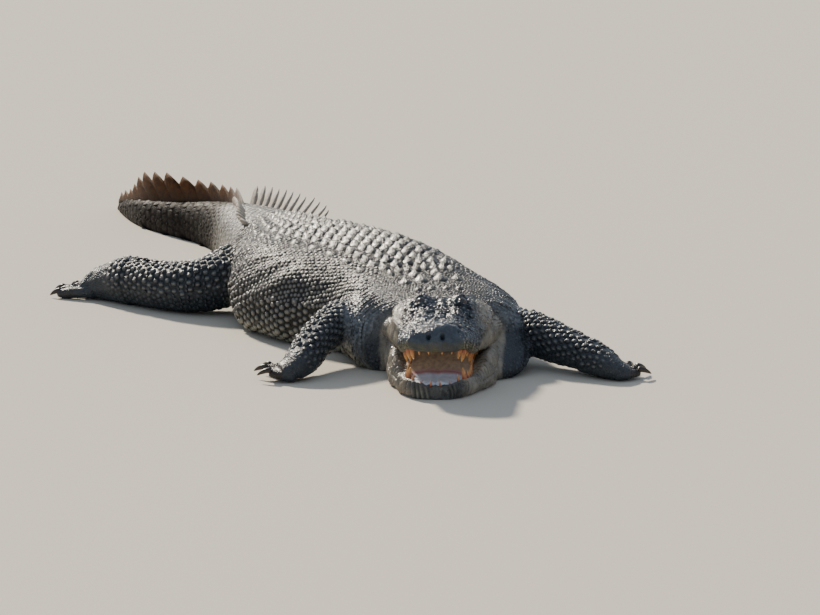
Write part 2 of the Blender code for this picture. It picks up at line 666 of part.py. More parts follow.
def main():
    clear_scene()
    parts = new_collection("crocodile")
    helpers = new_collection("helpers")
    hide = new_material("grey_brown_hide", (0.115, 0.112, 0.100), 0.55)
    gum = new_material("pale_mouth_lining", (0.46, 0.38, 0.32), 0.45)
    horn = new_material("dark_horn", (0.045, 0.038, 0.032), 0.40)
    iris = new_material("amber_eye", (0.20, 0.15, 0.05), 0.10)
    trimmers = (make_body(parts, helpers, hide), make_head(parts, helpers, hide, gum))
    for name, limb in LIMBS.items():
        make_limb(name, limb, trimmers, parts, helpers, hide, horn)
    for name in ("right_eye", "left_eye"):
        bpy.data.objects[name].data.materials.append(iris)
    centre_on_floor(parts)


main()
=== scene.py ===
"""The looks of a life-size mugger crocodile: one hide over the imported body, scales, teeth, claws and eyes.

Metres, +Z up, floor at z = 0, snout towards -Y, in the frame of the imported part. The animal's right side is
at -X. The hide is lofted along the same backbone as the solids that it replaces, a coat's depth inside them.
"""

import math

import bmesh
import bpy
import numpy as np
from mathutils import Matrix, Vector
from mathutils.bvhtree import BVHTree
from mathutils.kdtree import KDTree


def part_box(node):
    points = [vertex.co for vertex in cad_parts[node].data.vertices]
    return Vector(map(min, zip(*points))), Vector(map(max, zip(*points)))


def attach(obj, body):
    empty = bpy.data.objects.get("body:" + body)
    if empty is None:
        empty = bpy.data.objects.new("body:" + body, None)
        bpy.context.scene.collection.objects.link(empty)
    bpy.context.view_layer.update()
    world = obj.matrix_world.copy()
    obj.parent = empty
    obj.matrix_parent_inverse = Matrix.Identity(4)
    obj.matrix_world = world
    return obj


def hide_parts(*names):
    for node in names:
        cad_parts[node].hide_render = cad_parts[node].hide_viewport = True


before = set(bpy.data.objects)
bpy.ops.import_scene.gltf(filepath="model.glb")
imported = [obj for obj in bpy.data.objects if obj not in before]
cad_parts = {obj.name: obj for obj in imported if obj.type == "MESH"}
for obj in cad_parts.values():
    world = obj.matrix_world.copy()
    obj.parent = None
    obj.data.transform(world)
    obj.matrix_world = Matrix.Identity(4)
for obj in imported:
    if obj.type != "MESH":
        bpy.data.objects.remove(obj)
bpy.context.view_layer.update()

# ------------------------------------------------------------------ studio
# A plain pale floor, one warm sun lamp behind the animal's right side and a pale blue sky, seen from low in
# front with a long lens. The floor is a matte sheet that catches the animal's shadow.
PLAN_CORNER = Vector((-0.2861, -0.0020, 0.0))  # the head's low corner on the plan that BACKBONE is drawn on
head_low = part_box("head")[0]
SHIFT = Vector((head_low.x, head_low.y, 0.0)) - PLAN_CORNER
CAMERA_TILT = math.radians(11)
CAMERA_DISTANCE = 18.0
CAMERA_AIM = SHIFT + Vector((-0.090, 1.616, 0.0))
SUN_TRAVEL = Vector((0.42, -0.74, -0.55))  # the way its light goes
FLOOR_RADIUS = 120.0  # its edge stays out of every view


def srgb(code):
    """An sRGB hex colour as linear red, green, blue and alpha."""
    parts = [int(code[i : i + 2], 16) / 255 for i in (1, 3, 5)]
    return [c / 12.92 if c <= 0.04045 else ((c + 0.055) / 1.055) ** 2.4 for c in parts] + [1.0]


def add_node(tree, kind, links=(), **settings):
    """Adds a shader node, sets its properties or sockets, and links or sets its numbered or named inputs."""
    node = tree.nodes.new("ShaderNode" + kind)
    for name, value in settings.items():
        if hasattr(node, name):
            setattr(node, name, value)
        else:
            node.inputs[name.replace("_", " ")].default_value = value
    for socket, source in dict(links).items():
        if isinstance(source, float):
            node.inputs[socket].default_value = source
        else:
            tree.links.new(source, node.inputs[socket])
    return node


def new_material(name, roughness):
    """A material, with its node tree and its shader."""
    made = bpy.data.materials.new(name)
    made.use_nodes = True
    shader = made.node_tree.nodes["Principled BSDF"]
    shader.inputs["Roughness"].default_value = roughness
    return made, made.node_tree, shader


bpy.ops.object.select_all(action="DESELECT")
bpy.ops.mesh.primitive_circle_add(
    vertices=96, radius=FLOOR_RADIUS, fill_type="NGON", location=(0, 0, -0.0005)
)
floor = bpy.context.object
floor.name = "studio_floor"
# Matte card, which takes a soft shadow and shows no glare
paper, _, paper_shader = new_material("pale_matte_floor", 0.9)
paper_shader.inputs["Base Color"].default_value = srgb("#C9C2B4")
floor.data.materials.append(paper)

bpy.ops.object.light_add(type="SUN", location=(-6, 6, 8))
key = bpy.context.object
key.name = "key_lamp"
key.rotation_euler = SUN_TRAVEL.to_track_quat("-Z", "Y").to_euler()
key.data.energy = 7.0
key.data.angle = math.radians(5)
key.data.color = srgb("#FFF3E0")[:3]

sky = bpy.data.worlds.new("pale_sky")
sky.use_nodes = True
sky.node_tree.nodes["Background"].inputs["Color"].default_value = srgb("#C6D3E6")
sky.node_tree.nodes["Background"].inputs["Strength"].default_value = 0.75
bpy.context.scene.world = sky

back_off = Vector((0, -math.cos(CAMERA_TILT), math.sin(CAMERA_TILT))) * CAMERA_DISTANCE
bpy.ops.object.camera_add(location=CAMERA_AIM + back_off, rotation=(math.pi / 2 - CAMERA_TILT, 0, 0))
camera = bpy.context.object
camera.data.sensor_width = 36.0
camera.data.lens = 216.2
camera.data.clip_end = 300.0
bpy.context.scene.camera = camera

# ------------------------------------------------------------------ neck, trunk and tail
# The long body, flat where it lies on the floor. Its hide is lofted along one route through cross-sections
# read from a table, and pushed in and out by the folds that the skin hangs in.
# The backbone's line on its own plan, from the snout tip to the tail's end: to the animal's left, and back
BACKBONE = (
    (-0.006, 0.000), (0.006, 0.200), (0.018, 0.380), (0.020, 0.500), (0.004, 0.620), (-0.044, 0.760),
    (-0.116, 0.920), (-0.216, 1.085), (-0.330, 1.255), (-0.442, 1.445), (-0.530, 1.670), (-0.590, 1.910),
    (-0.636, 2.150), (-0.684, 2.390), (-0.738, 2.620), (-0.812, 2.840), (-0.920, 3.020), (-1.048, 3.175),
    (-1.158, 3.345), (-1.232, 3.540), (-1.284, 3.730),
)  # fmt: skip
# Distance along the backbone, half width, height of the back, height of the widest line, squareness
BODY = (
    (0.480, 0.180, 0.236, 0.110, 2.4), (0.500, 0.226, 0.248, 0.110, 2.4), (0.530, 0.280, 0.258, 0.106, 2.4),
    (0.570, 0.308, 0.266, 0.104, 2.4), (0.610, 0.318, 0.273, 0.106, 2.4), (0.660, 0.322, 0.281, 0.112, 2.3),
    (0.720, 0.324, 0.292, 0.120, 2.2), (0.880, 0.306, 0.326, 0.122, 2.2),
    (1.060, 0.342, 0.346, 0.112, 2.2), (1.240, 0.384, 0.352, 0.106, 2.3), (1.420, 0.380, 0.352, 0.108, 2.4),
    (1.560, 0.330, 0.348, 0.120, 2.5), (1.720, 0.250, 0.340, 0.130, 2.6), (1.900, 0.206, 0.326, 0.130, 2.7),
    (2.200, 0.168, 0.294, 0.122, 2.8), (2.500, 0.138, 0.254, 0.110, 2.8), (2.800, 0.106, 0.216, 0.096, 2.6),
    (3.100, 0.076, 0.176, 0.082, 2.3), (3.400, 0.050, 0.136, 0.066, 2.2), (3.700, 0.030, 0.096, 0.048, 2.2),
    (3.920, 0.014, 0.058, 0.030, 2.0), (4.020, 0.007, 0.034, 0.016, 2.0),
)  # fmt: skip
BELLY_PRESS = 0.040  # how far the underside would hang below the floor that it is pressed flat on
COAT_DEPTH = 0.006  # from the skin out to the scales' tops
TAIL_END = 4.021  # distance along the backbone at which the tail closes
TAIL_POINT = 0.060  # length over which the tail's end closes to a rounded point
UPPER_ROUNDING, LOWER_ROUNDING = 2.3, 2.8  # powers of the cross-section's curves; 2 is an ellipse


def read(table, along):
    """The rest of a table's columns at many distances along it, smooth and never past a peak."""
    rows = np.array(table, float)
    x, y = rows[:, 0], rows[:, 1:]
    step, rise = np.diff(x), np.diff(y, axis=0)
    lean = rise / step[:, None]
    slope = np.zeros_like(y)
    slope[0], slope[-1] = lean[0], lean[-1]
    before, after = lean[:-1], lean[1:]
    total = np.where(before * after > 0, before + after, 1.0)
    slope[1:-1] = np.where(before * after > 0, 2 * before * after / total, 0.0)
    at = np.clip(np.asarray(along, float), x[0], x[-1])
    i = np.clip(np.searchsorted(x, at) - 1, 0, len(x) - 2)
    span = step[i][..., None]
    t = ((at - x[i]) / step[i])[..., None]
    return (
        (1 + 2 * t) * (1 - t) ** 2 * y[i] + t * (1 - t) ** 2 * span * slope[i]
        + t * t * (3 - 2 * t) * y[i + 1] + t * t * (t - 1) * span * slope[i + 1]
    )  # fmt: skip


def smooth_line(points, steps=16):
    """A smooth line through a few points, as many points and the distance along it to each."""
    p = np.array(points, float)
    p = np.vstack([2 * p[0] - p[1], p, 2 * p[-1] - p[-2]])
    t = (np.arange(steps) / steps)[:, None]
    line = []
    for a, b, c, d in zip(p, p[1:], p[2:], p[3:]):
        line.append(0.5 * (2 * b + (c - a) * t + (2 * a - 5 * b + 4 * c - d) * t**2
                           + (3 * b - a - 3 * c + d) * t**3))  # fmt: skip
    line = np.vstack([*line, p[-2:-1]])
    return line, np.concatenate([[0.0], np.cumsum(np.linalg.norm(np.diff(line, axis=0), axis=1))])


def unit(vectors):
    """Vectors of the same directions, each one unit long."""
    return vectors / np.maximum(np.linalg.norm(vectors, axis=-1, keepdims=True), 1e-9)


spine_line, spine_along = smooth_line([(x + SHIFT.x, y + SHIFT.y, 0.0) for x, y in BACKBONE])


def spine_at(along):
    """Places on the floor under the backbone, at distances along it."""
    return np.stack([np.interp(along, spine_along, axis) for axis in spine_line.T], axis=-1)


def spine_ahead(along):
    """The way the backbone runs towards the tail, at distances along it."""
    return unit(spine_at(along + 0.02) - spine_at(along - 0.02))


def on_body(along, across, height):
    """Points at a distance along the backbone, out to the animal's left, and above the floor."""
    along, across, height = np.broadcast_arrays(along, across, height)
    ahead = spine_ahead(along)
    left = np.stack([ahead[..., 1], -ahead[..., 0], np.zeros_like(along)], axis=-1)
    place = spine_at(along) + left * across[..., None]
    place[..., 2] += height
    return place


def powered(value, square):
    """A sine or cosine bent so that the curve drawn with it is squarer than an ellipse."""
    return np.sign(value) * np.abs(value) ** (2 / square)


def noise(points, seed=0):
    """Smooth noise from -1 to 1 at many points, one bump or hollow to each unit."""
    base = np.floor(points).astype(np.int64)
    part = points - base
    ease = part * part * (3 - 2 * part)
    total = np.zeros(points.shape[:-1])
    for corner in np.ndindex(2, 2, 2):
        cell = base + corner
        mixed = (cell[..., 0] * 73856093) ^ (cell[..., 1] * 19349663)  # large primes, to scatter the cells
        mixed = mixed ^ (cell[..., 2] * 83492791) ^ (seed * 2654435761)
        mixed = (mixed ^ (mixed >> 13)) * 1274126177 & 0x7FFFFFFF
        value = (mixed ^ (mixed >> 16)) % 65536 / 32768.0 - 1.0
        weight = np.prod(np.where(np.array(corner) == 1, ease, 1 - ease), axis=-1)
        total += value * weight
    return total


def bell(distance, width):
    """1 at no distance, falling smoothly to nearly nothing at twice the width."""
    return np.exp(-((distance / width) ** 2))


def fade(value, start, end):
    """0 before start, rising smoothly to 1 at end."""
    t = np.clip((value - start) / (end - start), 0.0, 1.0)
    return t * t * (3 - 2 * t)


class Chart:
    """A tube's surface as a grid of points: rows along it, and columns from its upper middle line, at v = 0,
    evenly round both sides to the lower one, at v = 1 on the animal's left and -1 on its right."""

    def __init__(self, rows, points):
        self.rows, self.points = rows, points
        self.normals = self.square_to(points)
        steps = np.linalg.norm(np.diff(points, axis=1), axis=2)
        self.girth = steps.sum(axis=1)

    @staticmethod
    def square_to(points):
        """The grid's outward normals."""
        along = np.gradient(points, axis=0)
        around = np.gradient(points, axis=1)
        around[:, 0] = around[:, -1] = points[:, 1] - points[:, -2]
        return unit(np.cross(around, along))

    def raise_by(self, heights):
        """Moves the surface out by a height at each point, never below the floor."""
        self.points = self.points + self.normals * heights[..., None]
        self.points[..., 2] = np.maximum(self.points[..., 2], 0.0)
        self.normals = self.square_to(self.points)

    def read(self, grid, along, v):
        """The grid's values between its points."""
        last = len(self.rows) - 1
        i = np.clip(np.interp(along, self.rows, np.arange(last + 1)), 0, last - 1e-6)
        j = np.clip((v + 1) / 2, 0, 1) * (self.points.shape[1] - 1 - 1e-6)
        i0, j0 = i.astype(int), j.astype(int)
        fi, fj = (i - i0)[..., None], (j - j0)[..., None]
        top = grid[i0, j0] * (1 - fj) + grid[i0, j0 + 1] * fj
        low = grid[i0 + 1, j0] * (1 - fj) + grid[i0 + 1, j0 + 1] * fj
        return top * (1 - fi) + low * fi

    def place(self, along, v, height):
        """Points at a height over the surface."""
        return self.read(self.points, along, v) + unit(self.read(self.normals, along, v)) * height[..., None]

    def half_girth(self, along):
        """Half the way round the tube."""
        return np.interp(along, self.rows, self.girth) / 2


def half_sections(along, columns):
    """Half cross-sections of the body's skin, from the back's middle line to the belly's, in even steps."""
    half, top, belt, square = (column[:, None] for column in read(BODY, along).T)
    half, top = half - COAT_DEPTH, top - COAT_DEPTH
    press = np.minimum(BELLY_PRESS, 0.4 * belt)
    turn = np.linspace(math.pi / 2, -math.pi / 2, 400)[None, :]
    above = turn > 0
    across = np.where(above, powered(np.cos(turn), UPPER_ROUNDING), powered(np.cos(turn), LOWER_ROUNDING))
    across = half * across
    back = belt + (top - belt) * powered(np.sin(turn), square)
    belly = belt + (belt + press) * powered(np.sin(turn), LOWER_ROUNDING)
    height = np.maximum(np.where(above, back, belly), 0.0)
    steps = np.hypot(np.diff(across, axis=1), np.diff(height, axis=1))
    gone = np.concatenate([np.zeros((len(along), 1)), np.cumsum(steps, axis=1)], axis=1)
    share = np.linspace(0, 1, columns)
    even = []
    for side in (across, height):
        even.append(np.stack([np.interp(share * way[-1], way, line) for way, line in zip(gone, side)]))
    return even


body_rows = np.linspace(0.480, 4.018, 590)
body_across, body_height = half_sections(body_rows, 81)
body_height *= np.sqrt(np.clip((TAIL_END - body_rows) / TAIL_POINT, 0, 1))[:, None]
across_all = np.concatenate([-body_across[:, :0:-1], body_across], axis=1)
height_all = np.concatenate([body_height[:, :0:-1], body_height], axis=1)
body_v = np.linspace(-1, 1, across_all.shape[1])
# The slack throat is pressed forwards along the floor, under and beside the left cheek
throat = (1 - fade(height_all, 0.02, 0.16)) * (1 - fade(body_rows, 0.50, 0.86))[:, None]
throat_row = body_rows[:, None] - throat * (0.03 + 0.14 * fade(across_all, -0.02, 0.12))
body = Chart(body_rows, on_body(throat_row, across_all, height_all))


def body_folds(along, v, girth):
    """How far the hide stands out from the plain body, in slack folds on the neck and the flanks."""
    w = v * girth
    side = fade(np.abs(v), 0.22, 0.36) * (1 - fade(np.abs(v), 0.72, 0.86))
    wander = 0.5 * noise(np.stack([along * 5, w * 5, 0 * w], axis=-1), 3)
    neck = fade(along, 0.50, 0.54) * (1 - fade(along, 0.74, 0.84)) * side
    folds = 0.0042 * neck * np.sin(2 * math.pi * (along / 0.0150 + 2.2 * wander))
    folds += 0.0032 * neck * np.sin(2 * math.pi * (along / 0.036 + 1.6 * wander))
    flank = fade(along, 0.92, 1.06) * (1 - fade(along, 1.60, 1.76)) * side
    slant = along * 5.5 - np.abs(w) * 9.0 + 1.6 * wander
    folds += 0.0038 * flank * np.sin(2 * math.pi * slant)
    broad = noise(np.stack([along * 7, w * 7, 0 * w + 4], axis=-1), 5)
    return folds + 0.004 * broad * side


grid_along, grid_v = np.meshgrid(body_rows, body_v, indexing="ij")
body.raise_by(body_folds(grid_along, grid_v, body.girth[:, None] / 2))


def add_object(name, mesh):
    """Puts a mesh into the scene, smooth all over."""
    mesh.shade_smooth()
    obj = bpy.data.objects.new(name, mesh)
    bpy.context.scene.collection.objects.link(obj)
    return obj


def tube_mesh(name, points):
    """A closed piece over a grid whose first and last columns meet, with both ends capped."""
    rows, columns = points.shape[0], points.shape[1] - 1
    ring = np.arange(columns)
    faces = []
    for r in range(rows - 1):
        a, b = r * columns + ring, (r + 1) * columns + ring
        faces += np.stack([a, np.roll(a, -1), np.roll(b, -1), b], axis=1).tolist()
    faces += [ring[::-1].tolist(), (ring + (rows - 1) * columns).tolist()]
    mesh = bpy.data.meshes.new(name)
    mesh.from_pydata(points[:, :-1].reshape(-1, 3).tolist(), [], faces)
    made = bmesh.new()
    made.from_mesh(mesh)
    bmesh.ops.recalc_face_normals(made, faces=made.faces)
    made.to_mesh(mesh)
    made.free()
    return add_object(name, mesh)


# The skin's rows are closest together over the folded neck
skin_rows = np.concatenate([np.arange(0.482, 0.86, 0.0036), np.linspace(0.862, 4.016, 240)])
skin_v = np.linspace(-1, 1, 129)
along_2, v_2 = np.meshgrid(skin_rows, skin_v, indexing="ij")
trunk_tube = tube_mesh("hide_body", body.place(along_2, v_2, np.zeros_like(v_2)))
trunk_shape = trunk_tube.data.copy()

# ------------------------------------------------------------------ head
# Skull and jaws under tight horny skin: a broad snout with a raised nose disc, bony brows over sunken eyes,
# slack creased cheeks. Two lofts of smooth rings, pushed in and out by the skull's own bumps and creases.
HEAD_BACK = 0.560  # distance from the snout tip to the back of the head's lofts, inside the neck
JAW_CORNER = 0.420  # distance from the snout tip at which the cheek's skin joins the jaws
# Distance from the snout tip, half width, height of the top line, the skull section's share
UPPER_JAW = (
    (0.000, 0.006, 0.186, 0.0), (0.001, 0.024, 0.188, 0.0), (0.003, 0.046, 0.194, 0.0),
    (0.008, 0.068, 0.204, 0.0), (0.028, 0.097, 0.228, 0.0),
    (0.060, 0.114, 0.246, 0.0), (0.100, 0.120, 0.243, 0.0), (0.145, 0.130, 0.238, 0.0),
    (0.195, 0.136, 0.235, 0.1), (0.250, 0.138, 0.236, 0.2), (0.310, 0.150, 0.244, 0.6),
    (0.370, 0.172, 0.252, 0.9), (0.430, 0.190, 0.257, 1.0), (0.490, 0.199, 0.256, 1.0),
    (0.530, 0.203, 0.250, 1.0), (0.560, 0.205, 0.244, 1.0),
)  # fmt: skip
# The cross-sections, from the top's middle line round to the lip: shares of the half width and of the height
SNOUT_SECTION = (
    (0.18, 1.00), (0.46, 0.93), (0.74, 0.77), (0.93, 0.55), (1.00, 0.33), (0.99, 0.12), (0.92, 0.00),
)  # fmt: skip
SKULL_SECTION = (
    (0.16, 1.00), (0.42, 0.98), (0.66, 0.88), (0.85, 0.66), (0.96, 0.42), (1.00, 0.18), (0.93, 0.00),
)  # fmt: skip
PALATE = ((0.78, 0.06), (0.50, 0.85), (0.17, 1.00))  # on from the lip, inwards: shares of width and vault
# Distance from the snout tip, half widths of the right and left sides, height of the tooth rim
LOWER_JAW = (
    (0.001, 0.006, 0.006, 0.046), (0.002, 0.022, 0.022, 0.047), (0.005, 0.042, 0.042, 0.049),
    (0.016, 0.074, 0.074, 0.056), (0.042, 0.103, 0.103, 0.062),
    (0.085, 0.125, 0.130, 0.060), (0.150, 0.146, 0.158, 0.058), (0.220, 0.164, 0.182, 0.066),
    (0.290, 0.176, 0.191, 0.076), (0.360, 0.184, 0.194, 0.090), (0.420, 0.191, 0.197, 0.112),
    (0.480, 0.198, 0.202, 0.126), (0.530, 0.203, 0.208, 0.130), (0.560, 0.200, 0.208, 0.130),
)  # fmt: skip
CHIN_SECTION = ((0.86, 1.00), (0.95, 0.80), (1.00, 0.50), (0.94, 0.18), (0.80, 0.00), (0.40, 0.00))
CHEEK_SECTION = ((0.62, 1.00), (0.86, 1.04), (0.98, 0.72), (1.00, 0.32), (0.90, 0.00), (0.45, 0.00))
MOUTH_FLOOR = ((0.23, 1.00), (0.60, 0.90), (0.84, 0.30))  # as shares of the tooth rim's distance out
GAPE = 0.271  # rise of the upper lip over the lower rim for each metre ahead of the mouth's corner
PALATE_VAULT = 0.016  # rise of the palate above the upper lip
MOUTH_DEPTH = 0.034  # drop of the mouth's floor below the lower rim
EYE_RADIUS = 0.019
EYE_ALONG, EYE_ACROSS, EYE_HEIGHT = 0.370, 0.068, 0.258


def lip_height(along):
    """Height of the lower jaw's tooth rim."""
    return read(LOWER_JAW, along)[..., 2]


def jaw_half(along, across):
    """Half width of the lower jaw, on the side that each place is on."""
    halves = read(LOWER_JAW, along)
    return np.where(across < 0, halves[..., 0], halves[..., 1])


def rim_share(along):
    """How far out the lower tooth rim stands, as a share of the jaw's half width."""
    return CHIN_SECTION[0][0] + (CHEEK_SECTION[0][0] - CHIN_SECTION[0][0]) * fade(along, 0.05, 0.26)


def jaw_lift(along):
    """How far the upper lip stands above the lower rim."""
    ahead = JAW_CORNER - along
    return np.where(ahead > -0.03, GAPE * 0.5 * (ahead + np.sqrt(ahead**2 + 0.02**2)), 0.0)


def round_ring(corners, count):
    """A closed smooth line through each row of corner points, read at many even places."""
    n = corners.shape[1]
    at = np.arange(count) * n / count
    i, t = at.astype(int), (at % 1.0)[None, :, None]
    a, b, c, d = (corners[:, (i + k) % n] for k in (-1, 0, 1, 2))
    return 0.5 * (2 * b + (c - a) * t + (2 * a - 5 * b + 4 * c - d) * t**2 + (3 * b - a - 3 * c + d) * t**3)


def upper_rings(along, count):
    """Across and height of the upper jaw's and skull's cross-sections."""
    half, top, skull = read(UPPER_JAW, along).T
    closed = fade(along, JAW_CORNER - 0.02, JAW_CORNER + 0.03)
    lip = lip_height(along) + jaw_lift(along) - 0.012 * closed
    vault = PALATE_VAULT * (1 - closed) * np.minimum(1.0, along / 0.08)
    side = []
    for snout, cranium in zip(SNOUT_SECTION, SKULL_SECTION):
        out, rise = (a * (1 - skull) + b * skull for a, b in zip(snout, cranium))
        side.append(np.stack([half * out, lip + (top - lip) * rise], axis=-1))
    side += [np.stack([half * out, lip + vault * rise], axis=-1) for out, rise in PALATE]
    left = np.stack(side, axis=1)
    right = left[:, ::-1] * np.array([-1.0, 1.0])
    return round_ring(np.concatenate([left, right], axis=1), count)


def lower_rings(along, count):
    """Across and height of the lower jaw's cross-sections, the mouth's floor among them."""
    right_half, left_half, rim = read(LOWER_JAW, along).T
    opened = 1 - fade(along, JAW_CORNER - 0.05, JAW_CORNER)
    depth = MOUTH_DEPTH * opened * np.minimum(1.0, along / 0.06)
    cheek = fade(along, 0.05, 0.26)
    side = [(out * rim_share(along), rim - depth * fall) for out, fall in MOUTH_FLOOR]
    fold = jaw_lift(along) * fade(along, 0.15, 0.32)  # the slack skin that closes the mouth's corner
    for chin, jowl, lifted in zip(CHIN_SECTION, CHEEK_SECTION, (0.0, 0.75, 0.45, 0.0, 0.0, 0.0)):
        out, rise = (a * (1 - cheek) + b * cheek for a, b in zip(chin, jowl))
        side.append((out, rim * rise + fold * lifted))
    left = np.stack([np.stack([left_half * out, height], axis=-1) for out, height in side], axis=1)
    right = np.stack([np.stack([-right_half * out, height], axis=-1) for out, height in side], axis=1)
    return round_ring(np.concatenate([left, right[:, ::-1]], axis=1), count)


def near_line(a, b, points):
    """Distance from many places to a line through points, all in one plane."""
    best = np.full(a.shape, 1e9)
    for (a0, b0), (a1, b1) in zip(points, points[1:]):
        da, db = a1 - a0, b1 - b0
        t = np.clip(((a - a0) * da + (b - b0) * db) / (da * da + db * db), 0, 1)
        best = np.minimum(best, np.hypot(a - a0 - t * da, b - b0 - t * db))
    return best


def skull_relief(a, c, h):
    """How far the skin of the upper head stands out from the plain loft."""
    lip = lip_height(a) + jaw_lift(a)
    top = read(UPPER_JAW, a)[..., 1]
    up = np.clip((h - lip) / (top - lip), 0, 1)
    outer = fade(up, 0.02, 0.14)
    crown = fade(up, 0.55, 0.85)
    side = np.abs(c)
    field = np.stack([a, c, h], axis=-1)
    relief = 0.0085 * bell(a - 0.040, 0.036) * bell(side, 0.052) * fade(up, 0.30, 0.62)  # the nose boss
    nostril = np.hypot((a - 0.0135) * 1.1, side - 0.023)
    relief += 0.0018 * bell(nostril - 0.0110, 0.0045) - 0.0170 * bell(nostril, 0.0062)
    # Two low ridges run down the snout from the eyes, and one stands between the eyes
    relief += 0.0050 * bell(near_line(a, side, [(0.31, 0.052), (0.20, 0.050), (0.11, 0.062)]), 0.013) * crown
    relief -= 0.0050 * bell(a - 0.30, 0.055) * bell(side - 0.020, 0.022) * crown  # dished before the eyes
    relief += 0.0080 * bell(near_line(a, side, [(0.335, 0.0), (0.42, 0.0)]), 0.012) * crown
    # Each eyelid is a raised ring round a socket
    lid = np.hypot(a - EYE_ALONG, (side - EYE_ACROSS - 0.006) * 0.9)
    relief += (0.0050 * bell(lid - 0.0205, 0.0050) - 0.0090 * bell(lid, 0.0130)) * fade(up, 0.4, 0.6)
    # Horny knobs all over but on the nose and low on the cheeks, crowded above the eyes
    rough = np.maximum(fade(a, 0.055, 0.10), fade(a, 0.012, 0.040) * fade(side, 0.042, 0.070))
    rough = rough * (0.35 + 0.65 * crown) * outer
    rough = rough * (1 - 0.7 * fade(a, 0.20, 0.34) * (1 - crown))
    knobs = 1 - 2 * np.abs(noise(field / 0.019, 1))
    relief += rough * (0.0034 * knobs + 0.0026 * noise(field / 0.0105, 2))
    ridged = bell(a - 0.385, 0.045) * bell(side - 0.066, 0.040) * crown
    relief += 0.0045 * ridged * noise(field / 0.0130, 5)
    relief += outer * 0.0034 * noise(field / 0.048, 7)
    table = bell(near_line(a, side, [(0.44, 0.070), (0.52, 0.098)]), 0.014) * crown
    relief += 0.0070 * table - 0.0040 * bell(a - 0.47, 0.05) * bell(side - 0.03, 0.03) * crown
    bumps = np.abs(np.sin(math.pi * (a - 0.03) / 0.036))  # the swellings over the tooth roots
    relief += 0.0040 * (bumps - 0.5) * bell(up - 0.20, 0.16) * (1 - fade(a, 0.36, 0.42))
    relief += 0.0110 * bell(a - 0.475, 0.034) * bell(h - 0.158, 0.026) * (1 - crown)  # jaw muscle
    cheekbone = near_line(a, h, [(0.30, 0.176), (0.40, 0.196), (0.50, 0.226)])
    ear_crease = near_line(a, h, [(0.42, 0.186), (0.46, 0.196), (0.52, 0.200)])
    relief += (0.0060 * bell(cheekbone, 0.012) - 0.0100 * bell(ear_crease, 0.0060)) * (1 - crown)
    # The cheeks' slack skin hangs in streaks, and in close folds behind the left corner of the mouth
    streaks = noise(np.stack([a / 0.012, c / 0.012, h / 0.060], axis=-1), 31)
    relief += 0.0030 * streaks * (1 - crown) * outer * fade(a, 0.28, 0.40)
    on_left = fade(c, 0.10, 0.14)
    stripes = np.sin(2 * math.pi * (h + 0.15 * (a - 0.46)) / 0.0095)
    relief += 0.0034 * on_left * stripes * bell(a - 0.475, 0.030) * bell(h - 0.170, 0.020)
    return relief


def jaw_relief(a, c, h):
    """How far the skin of the lower jaw stands out: upright wrinkles on its sides, more of them in front."""
    rim = lip_height(a)
    down = np.clip(1 - h / rim, 0, 1)
    out = np.abs(c) / jaw_half(a, c)
    edge = rim_share(a)
    outer = fade(out, edge, edge + 0.08) + fade(0.03 - a, 0.0, 0.02)
    shelf = fade(out, edge + 0.03, edge + 0.12) * fade(a, 0.10, 0.16)
    outer = np.clip(outer, 0, 1) * np.maximum(fade(down, 0.0, 0.12), shelf) * (1 - fade(down, 0.9, 1.0))
    field = np.stack([a, c, h * 0.35], axis=-1)
    girth = a * 1.2 + np.abs(c) * 0.9
    wander = noise(field / 0.05, 11)
    folds = 1 - 1.6 * np.abs(np.sin(math.pi * (girth / 0.0190 + 1.6 * wander)))
    slack = 1 + 0.5 * (1 - fade(c, -0.06, 0.0)) * (1 - fade(a, 0.32, 0.42))
    relief = outer * slack * 0.0052 * folds * (0.7 + 0.5 * noise(field / 0.03, 12))
    relief += outer * (0.0040 * noise(field / 0.030, 13) + 0.0026 * noise(field / 0.013, 15))
    relief -= outer * 0.0050 * bell(down - 0.30 - 0.10 * wander, 0.07) * fade(a, 0.08, 0.16)
    inner = 1 - fade(out, edge - 0.16, edge - 0.06)
    pitted = noise(np.stack([a, c, 0 * h], axis=-1) / 0.016, 14)
    return relief + 0.0020 * inner * pitted * fade(a, 0.02, 0.05)


def head_loft(name, rows, rings, relief):
    """A closed loft of the rings, its skin pushed in or out by the relief, bent to the backbone."""
    along = np.repeat(rows[:, None], rings.shape[1] + 1, axis=1)
    rings = np.roll(rings, rings.shape[1] // 2, axis=1)  # the back's middle line comes to the middle column
    rings = np.concatenate([rings, rings[:, :1]], axis=1)
    flat = Chart(rows, np.stack([rings[..., 0], along, rings[..., 1]], axis=-1))
    sign = np.sign(np.sum((flat.points[5, 0] - flat.points[5].mean(axis=0)) * flat.normals[5, 0]))
    out = flat.normals * sign
    moved = flat.points + out * relief(along, rings[..., 0], rings[..., 1])[..., None]
    moved[..., 2] = np.maximum(moved[..., 2], 0.0)
    placed = on_body(moved[..., 1], moved[..., 0], moved[..., 2])
    chart = Chart(rows, placed)
    chart.normals *= sign
    return tube_mesh(name, placed), chart


def brow(a, c):
    """The bony ridge over each eye."""
    return 0.026 * bell(a - 0.388, 0.044) * bell(np.abs(c) - 0.062, 0.035)


def rows_by_width(table, pitch):
    """Rows down a jaw, crowded at its blunt tip so that the skin's grid stays even round the front."""
    dense = np.linspace(table[0][0], HEAD_BACK, 1200)
    gone = np.concatenate([[0], np.cumsum(np.hypot(np.diff(dense), np.diff(read(table, dense)[:, 0])))])
    return np.interp(np.arange(0, gone[-1], pitch), gone, dense)


